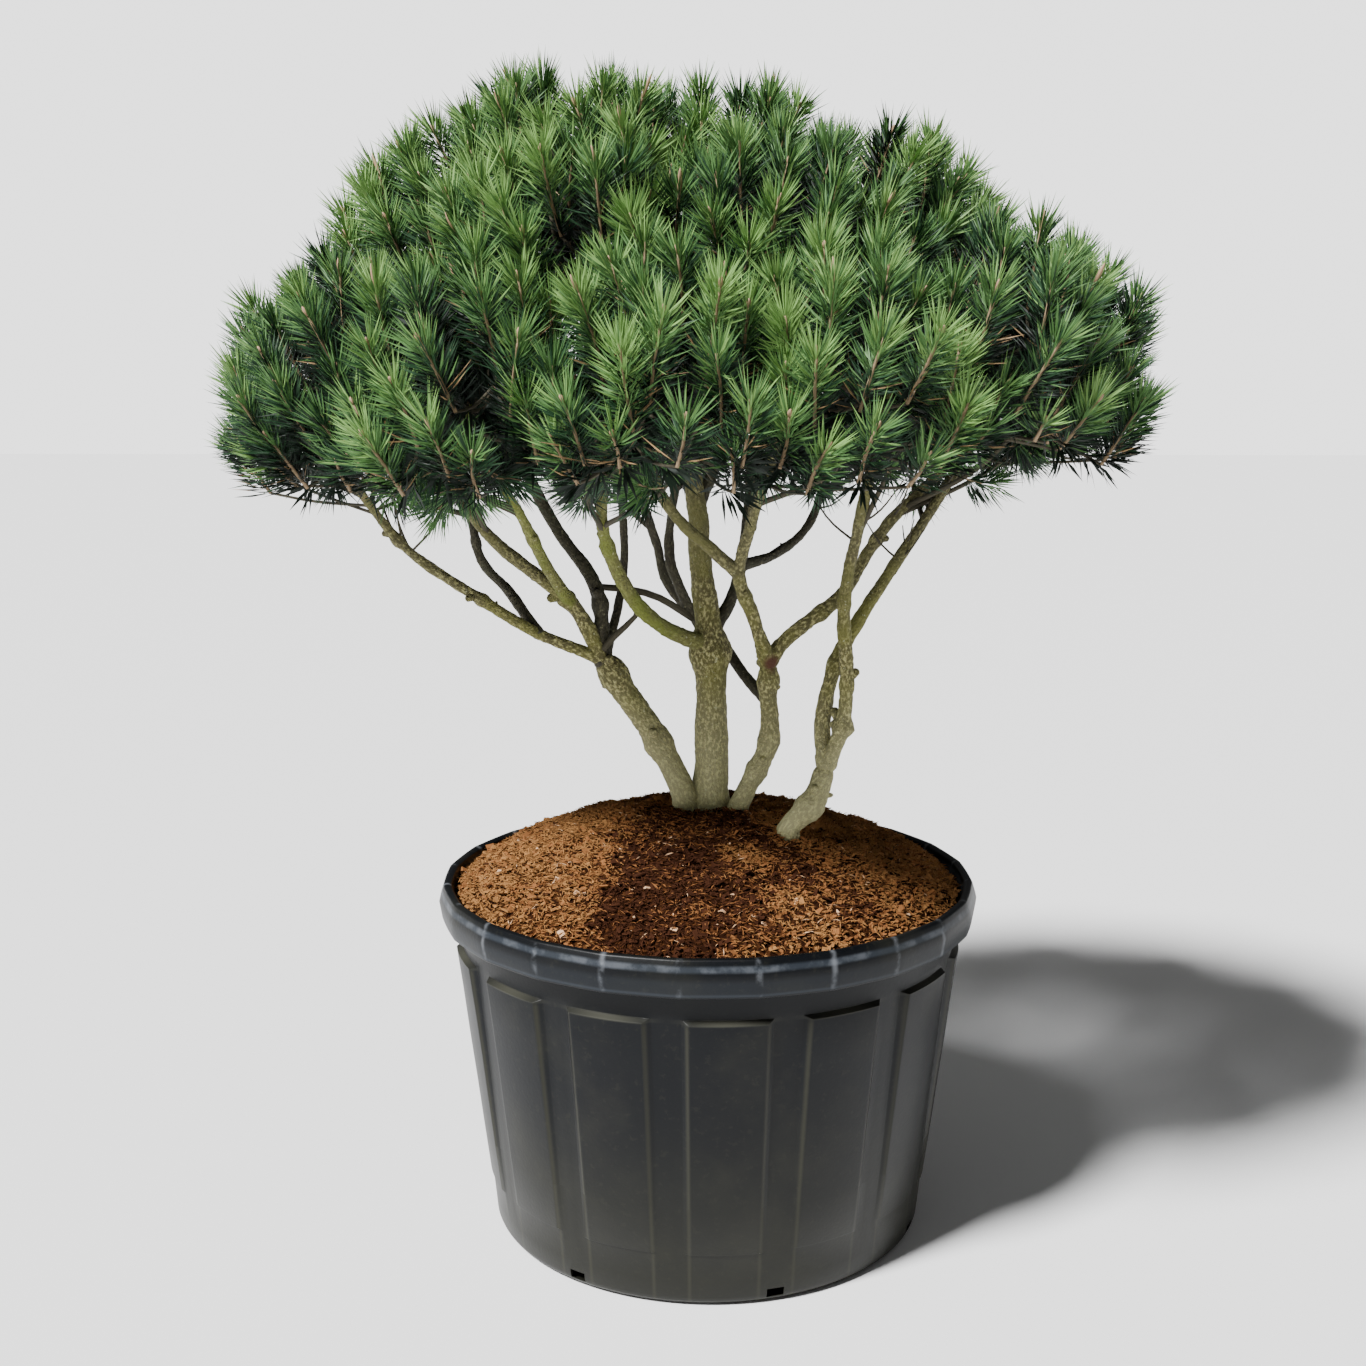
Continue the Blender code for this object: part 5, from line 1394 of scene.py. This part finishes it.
def shoots_of(mass):
    """The shoots of one mass: the CAD model's places first, then more between them."""
    rng = random.Random(mass.name)
    found = []
    droop = SIDE_DROOP * abs(mass.centre.x - CROWN_CENTRE[0]) + FRONT_DROOP * max(-mass.centre.y, 0.0)
    underside = mass.centre.z - mass.reach[2] * (UNDERSIDE + droop)
    for places, spacing, nearest in ((mass.places, 0.0, 1.02), (MORE_PLACES, MORE_SPACING, 0.92)):
        for direction in golden_directions(places, rng.uniform(0.0, math.tau)):
            stretch = rng.uniform(0.86, 1.06)
            if direction.z < LOWEST_DIRECTION:
                continue
            outer = mass.centre + Vector([a * b for a, b in zip(mass.reach, direction)])
            outer = mass.centre.lerp(outer, rng.uniform(nearest, FURTHEST_SHOOT))
            tip = drawn_in(mass, outer)
            if (tip - outer).length > SEAM_SHIFT or is_buried(mass, tip):
                continue
            if any((tip - shoot.tip).length < spacing for shoot in found):
                continue
            lowest = underside + rng.uniform(-UNEVENNESS, UNEVENNESS)
            if tip.z < lowest + SHORTEST_SHOOT:
                continue
            sway = Vector((rng.uniform(-LEAN_NOISE, LEAN_NOISE), rng.uniform(-LEAN_NOISE, LEAN_NOISE), 0.0))
            axis = (leaning_axis(tip, mass.centre, direction.z) + sway).normalized()
            length = min(SHOOT_LENGTH * stretch, (tip.z - lowest) / axis.z)
            found.append(Shoot(mass, tip - axis * length, tip))
    return found


def edge_shoots():
    """Shoots that stand proud where the crown's outline does."""
    found = []
    for mass in masses:
        for name, x, y, z in EDGE_SHOOTS:
            if name == mass.name:
                tip = Vector((x, y, z))
                axis = leaning_axis(tip, mass.centre, 0.0)
                found.append(Shoot(mass, tip - axis * SHOOT_LENGTH * 0.8, tip))
    return found


shoots = [shoot for mass in masses for shoot in shoots_of(mass)] + edge_shoots()
print(len(shoots), "shoots")

# %% [markdown]
# ### Twigs
#
# From the hub, a few side twigs set out towards the shoots around them, and each parts into one twig for
# every shoot near its end. Under the outer masses more shows: the twigs of the lowest shoots, which
# leave the bare bough near its end, branchlets with small hanging sprays, and dead twigs. Two twigs
# cross the open space between the stems. A shoot's own axis goes on from its twig. All of them are slim
# tubes of four or five sides, joined in two pieces: old wood, and the last years'.

# %% Grow the twigs
CROSS_TWIGS = [
    ([(-0.172, -0.01, 1.000), (-0.120, 0.03, 0.990), (-0.075, 0.045, 0.975), (-0.020, 0.02, 0.945)],
     0.0055, 0.0060),
    ([(-0.163, -0.045, 0.905), (-0.140, -0.05, 0.930), (-0.108, -0.06, 0.962), (-0.102, -0.07, 0.985)],
     0.0068, 0.0034),
]
BRANCHLETS = 3
BRANCHLET_RADIUS = 0.0046
HANGING_SPRAYS = 3
SIDE_TWIGS = 7
SIDE_TWIG_REACH = 0.42
BUD_SETBACK = 0.029
LOW_SHOOT = 0.045
LOW_SAG = 0.004
HIGH_SAG = 0.008
DEAD_TWIGS = 7
OLD_WOOD = (0.042, 0.036, 0.019)
NEW_WOOD = (0.260, 0.180, 0.100)


def random_way(twist, lowest, highest):
    """Any direction about the vertical, between two slopes."""
    level = (twist.uniform(-1.0, 1.0), twist.uniform(-1.0, 1.0))
    return Vector((*level, twist.uniform(lowest, highest))).normalized()


def tube_piece(name, tubes, sides, material):
    """One piece from many slim tubes, each a path with its radii; each tube's end is closed."""
    parts, faces, first = [], [], 0
    for path, radii in tubes:
        points, _ = tube_arrays(path, radii, sides)
        parts.append(points.reshape(-1, 3))
        faces += tube_faces(len(path), sides, first).tolist()
        faces.append([first + (len(path) - 1) * sides + i for i in range(sides)])
        first += len(path) * sides
    piece = mesh_piece(name, np.concatenate(parts), faces, material)
    print(name, len(tubes), "tubes,", len(faces), "faces")
    return piece


old_twigs = []
new_twigs = []
shoot_axes = []
shade_paths = []
hanging_paths = []
for mass in masses:
    twist = random.Random(mass.name + " twigs")
    line = limb_lines[mass.bough]
    inward = crown_line(next(limb for limb in LIMBS if limb.name == mass.bough), line)
    is_outer = mass.reach == OUTER_REACH
    heads = []
    for direction in golden_directions(SIDE_TWIGS, len(old_twigs)):
        reach = Vector([a * b for a, b in zip(mass.reach, direction)]) * SIDE_TWIG_REACH
        head = drawn_in(mass, mass.centre + reach + Vector((0.0, 0.0, -0.02)))
        fork = inward[int(len(inward) * (0.55 + 0.4 * (direction.z + 1.0) / 2.0))]
        middle = fork.lerp(head, 0.5) - Vector((0.0, 0.0, 0.012))
        path = smooth_path([fork, middle, head], 0.02)
        old_twigs.append((path, np.linspace(HUB_RADIUS, 0.0026, len(path))))
        shade_paths.append(path)
        heads.append(head)
    for _ in range(BRANCHLETS if is_outer else 0):
        foot = point_along(line, twist.uniform(0.55, 0.85))
        spread = Vector([twist.uniform(-0.5, 0.5) * reach for reach in mass.reach])
        end = drawn_in(mass, mass.centre + Vector((spread.x, spread.y, -0.04)))
        bend = foot.lerp(end, 0.55) + Vector((spread.x * 0.25, spread.y * 0.25, -0.022))
        path = smooth_path([foot, bend, end], 0.018)
        old_twigs.append((path, np.linspace(BRANCHLET_RADIUS, 0.0028, len(path))))
        for _ in range(HANGING_SPRAYS):
            foot = point_along(path, twist.uniform(0.40, 0.92))
            way = random_way(twist, -0.45, 0.25)
            end = foot + way * twist.uniform(0.030, 0.060)
            spray = smooth_path([foot, foot.lerp(end, 0.5) - Vector((0.0, 0.0, 0.004)), end], 0.02)
            new_twigs.append((spray, np.linspace(0.0018, 0.0012, len(spray))))
            hanging_paths.append(spray)
    for _ in range(DEAD_TWIGS if is_outer else 0):
        foot = point_along(line, twist.uniform(0.55, 0.98))
        way = random_way(twist, 0.2, 1.1)
        reach = twist.uniform(0.04, 0.13)
        bend = foot + way * reach * 0.5
        end = foot + way * reach + Vector((0.0, 0.0, reach * 0.25))
        path = smooth_path([foot, bend, end], 0.015)
        old_twigs.append((path, np.linspace(0.0020, 0.0008, len(path))))
    for shoot in [shoot for shoot in shoots if shoot.mass is mass]:
        axis = (shoot.tip - shoot.root).normalized()
        bud = shoot.tip - axis * BUD_SETBACK
        head = min(heads, key=lambda place: (place - shoot.root).length)
        base = shoot.root.lerp(shoot.tip, 0.15)
        sag = HIGH_SAG
        is_low = shoot.tip.z < mass.centre.z - LOW_SHOOT
        if is_outer and is_low:
            head = point_along(line, twist.uniform(0.74, 0.98))
            sag = LOW_SAG
        path = smooth_path([head, head.lerp(base, 0.55) - Vector((0.0, 0.0, sag)), base], 0.02)
        old_twigs.append((path, np.linspace(0.0026, 0.0021, len(path))))
        sway = Vector((axis.y, -axis.x, 0.0)) * twist.uniform(-0.007, 0.007)
        axis_path = smooth_path([base, base.lerp(bud, 0.5) + sway, bud], 0.02)
        new_twigs.append((axis_path, np.linspace(0.0031, 0.0021, len(axis_path))))
        shoot_axes.append((shoot, axis_path))
        if not is_low:
            shade_paths.append(path[len(path) // 2:])
for points, wide, slim in CROSS_TWIGS:
    path = smooth_path([Vector(point) for point in points], 0.02)
    old_twigs.append((path, np.linspace(wide, slim, len(path))))
tube_piece("twigs_old", old_twigs, 5, plain_material("old_twig_wood", OLD_WOOD, 0.85))
tube_piece("twigs_new", new_twigs, 4, plain_material("new_twig_wood", NEW_WOOD, 0.8))

# %% [markdown]
# ## Needles
#
# Mugo needles are stiff, about five centimetres long, and stand all round the shoot for several years'
# growth, wide open low down and closing towards the bud. Each is a sliver of four faces, widest at its
# middle and a little thicker than life, so that under three hundred to a shoot fill the crown. A needle
# takes its green from its height on the shoot and from the shoot's place, and these greens are partly
# painted light and shade: fresh green, lit and new, on the crown's top and outside, blue-green to nearly
# black, as painted shade, in its depth, and some masses painted lighter or darker than others. Coarse,
# nearly black needles along the inner twigs are painted shade too, and close the view through the crown.

# %% Needles of one shoot
NEEDLE_LENGTH = 0.049
NEEDLE_BEND = 0.06
NEEDLE_RADIUS = 0.00115
NEEDLES_PER_METRE = 2500
HANGING_NEEDLES_PER_METRE = 2300
SHADE_NEEDLES_PER_METRE = 520
SHADE_NEEDLE_RADIUS = 0.0026
OPEN_LOW = math.radians(64.0)
OPEN_HIGH = math.radians(28.0)
OPEN_BEND = 2.4
NEEDLE_FACES = np.array([(0, 1, 2), (0, 2, 3), (0, 3, 1), (1, 3, 2)])


def grow_needles(path, per_metre, radius, rng):
    """The needles along one shoot: points (count, 4, 3), and each one's share of the way up."""
    lengths = lengths_along(path)
    tangents, sides, crosses = carried_frames(path)
    places = np.array(path)
    count = int(per_metre * lengths[-1])
    share = rng.uniform(0.0, 1.0, count) ** 0.85
    goal = share * lengths[-1]

    def read(values):
        """The values at the foot of each needle."""
        return np.stack([np.interp(goal, lengths, values[:, axis]) for axis in range(3)], axis=1)

    base, axis, side, cross = read(places), read(tangents), read(sides), read(crosses)
    turn = rng.uniform(0.0, math.tau, count)[:, None]
    out = side * np.cos(turn) + cross * np.sin(turn)
    open_angle = OPEN_LOW + (OPEN_HIGH - OPEN_LOW) * share ** OPEN_BEND + rng.normal(0.0, 0.17, count)
    open_angle = open_angle[:, None]
    way = axis * np.cos(open_angle) + out * np.sin(open_angle)
    length = NEEDLE_LENGTH * rng.uniform(0.74, 1.08, count)[:, None]
    base = base + out * 0.0018
    tip = base + way * length + axis * length * NEEDLE_BEND * 2.0
    across = np.cross(axis, out)
    middle = base + way * length * 0.45 + out * length * NEEDLE_BEND + np.cross(way, across) * radius * 1.6
    return np.stack([base, middle + across * radius, middle - across * radius, tip], axis=1), share


# %% Greens by the place in the crown
# The first four greens are one needle green in steps of painted light and shade, from lit to shaded; the
# lightest is also the paler new growth. Straw is the colour of dead needles.
GREENS = {
    "fresh": (0.190, 0.345, 0.095),
    "green": (0.078, 0.175, 0.050),
    "deep": (0.017, 0.052, 0.021),
    "shade": (0.003, 0.009, 0.004),
    "straw": (0.300, 0.190, 0.090),
}
# Painted light and shade by mass: some masses are painted lighter, others darker.
MASS_PAINTED_LIGHT = {
    "needles_left": -0.26, "needles_left_front": -0.24, "needles_left_rear": -0.20,
    "needles_right": -0.36, "needles_front_right": -0.28, "needles_right_rear": -0.28,
    "needles_upper_left": 0.12, "needles_upper_front_left": 0.16, "needles_front": 0.14,
    "needles_front_middle": 0.20,
}
CROWN_FOOT = 1.12
FRESH_LEVEL = 1.80
GREEN_LEVEL = 1.22
DEEP_LEVEL = 0.76
STRAW_SHARE = 0.05
STRAW_HEIGHT = 0.35
HANGING_GREEN_LEVEL = 1.15
HANGING_DEEP_LEVEL = 0.45
TONES = list(GREENS)
rng = np.random.default_rng(23)
tone_points = {tone: [] for tone in TONES}
for shoot, path in shoot_axes:
    points, share = grow_needles(path, NEEDLES_PER_METRE, NEEDLE_RADIUS, rng)
    offset = shoot.tip - Vector((*CROWN_CENTRE, CROWN_FOOT))
    outside = math.hypot(offset.x / 0.66, offset.y / 0.60, offset.z / 0.62)
    mass_painted_light = MASS_PAINTED_LIGHT.get(shoot.mass.name, 0.0)
    # Painted light and shade by place: lighter towards the crown's outside and top, and by mass.
    light = 0.9 * (outside - 0.85) + 0.15 * offset.z + mass_painted_light + rng.normal(0.0, 0.27)
    level = 0.15 + share * 1.5 + light + rng.normal(0.0, 0.28, len(share))
    tone = np.where(level > GREEN_LEVEL, 1, np.where(level > DEEP_LEVEL, 2, 3))
    tone = np.where(level > FRESH_LEVEL, 0, tone)
    is_straw = (share < STRAW_HEIGHT) & (rng.uniform(0.0, 1.0, len(share)) < STRAW_SHARE)
    tone = np.where(is_straw, 4, tone)
    for index, name in enumerate(TONES):
        tone_points[name].append(points[tone == index])
for path in hanging_paths:
    points, share = grow_needles(path, HANGING_NEEDLES_PER_METRE, NEEDLE_RADIUS, rng)
    level = share + rng.normal(0.25, 0.35) + rng.normal(0.0, 0.3, len(share))
    tone = np.where(level > HANGING_GREEN_LEVEL, 1, np.where(level > HANGING_DEEP_LEVEL, 2, 3))
    for index, name in enumerate(TONES):
        tone_points[name].append(points[tone == index])
# Painted shade: coarse, nearly black needles along the inner twigs.
for path in shade_paths:
    points, _ = grow_needles(path, SHADE_NEEDLES_PER_METRE, SHADE_NEEDLE_RADIUS, rng)
    tone_points["shade"].append(points)

# %% Join the needles
PIECE_NEEDLES = 45000
for name in TONES:
    points = np.concatenate(tone_points[name])
    material = plain_material(f"needles_{name}", GREENS[name], 0.55)
    set_shine(material, 0.3)
    for index, first in enumerate(range(0, len(points), PIECE_NEEDLES)):
        chunk = points[first:first + PIECE_NEEDLES]
        piece = joined_mesh(f"needles_{name}_{index + 1}", chunk, NEEDLE_FACES, material)
        print(piece.name, len(chunk), "needles")
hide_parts(*[mass.name for mass in masses])

# %% [markdown]
# ## Buds
#
# Most shoots end in a blunt resinous bud, tan to rose-brown, and some on top of the crown have begun to
# stretch into candles. A bud is a six-sided spindle; the rings' sizes give it its shoulders.

# %% Buds and candles
BUD_RINGS = ((0.0, 0.7), (0.25, 1.0), (0.6, 0.92), (0.85, 0.55), (1.0, 0.12))
BUD_SHARE = 0.72
CANDLE_SHARE = 0.22
CANDLE_HEIGHT = 1.45
BUD_BROWN = (0.40, 0.25, 0.15)
buds = []
rng = random.Random(5)
for shoot, path in shoot_axes:
    if rng.random() > BUD_SHARE:
        continue
    end = path[-1]
    onward = (path[-1] - path[-2]).normalized()
    candle = shoot.tip.z > CANDLE_HEIGHT and rng.random() < CANDLE_SHARE
    length = rng.uniform(0.022, 0.034) if candle else rng.uniform(0.009, 0.014)
    wide = rng.uniform(0.0028, 0.0036)
    sideways = Vector([rng.uniform(-1.0, 1.0) for _ in range(3)]) * 0.15
    aim = (onward + sideways).normalized()
    spine = [end + aim * length * (place - 0.05) for place, _ in BUD_RINGS]
    buds.append((spine, [wide * share for _, share in BUD_RINGS]))
tube_piece("buds", buds, 6, plain_material("bud_scales", BUD_BROWN, 0.6))
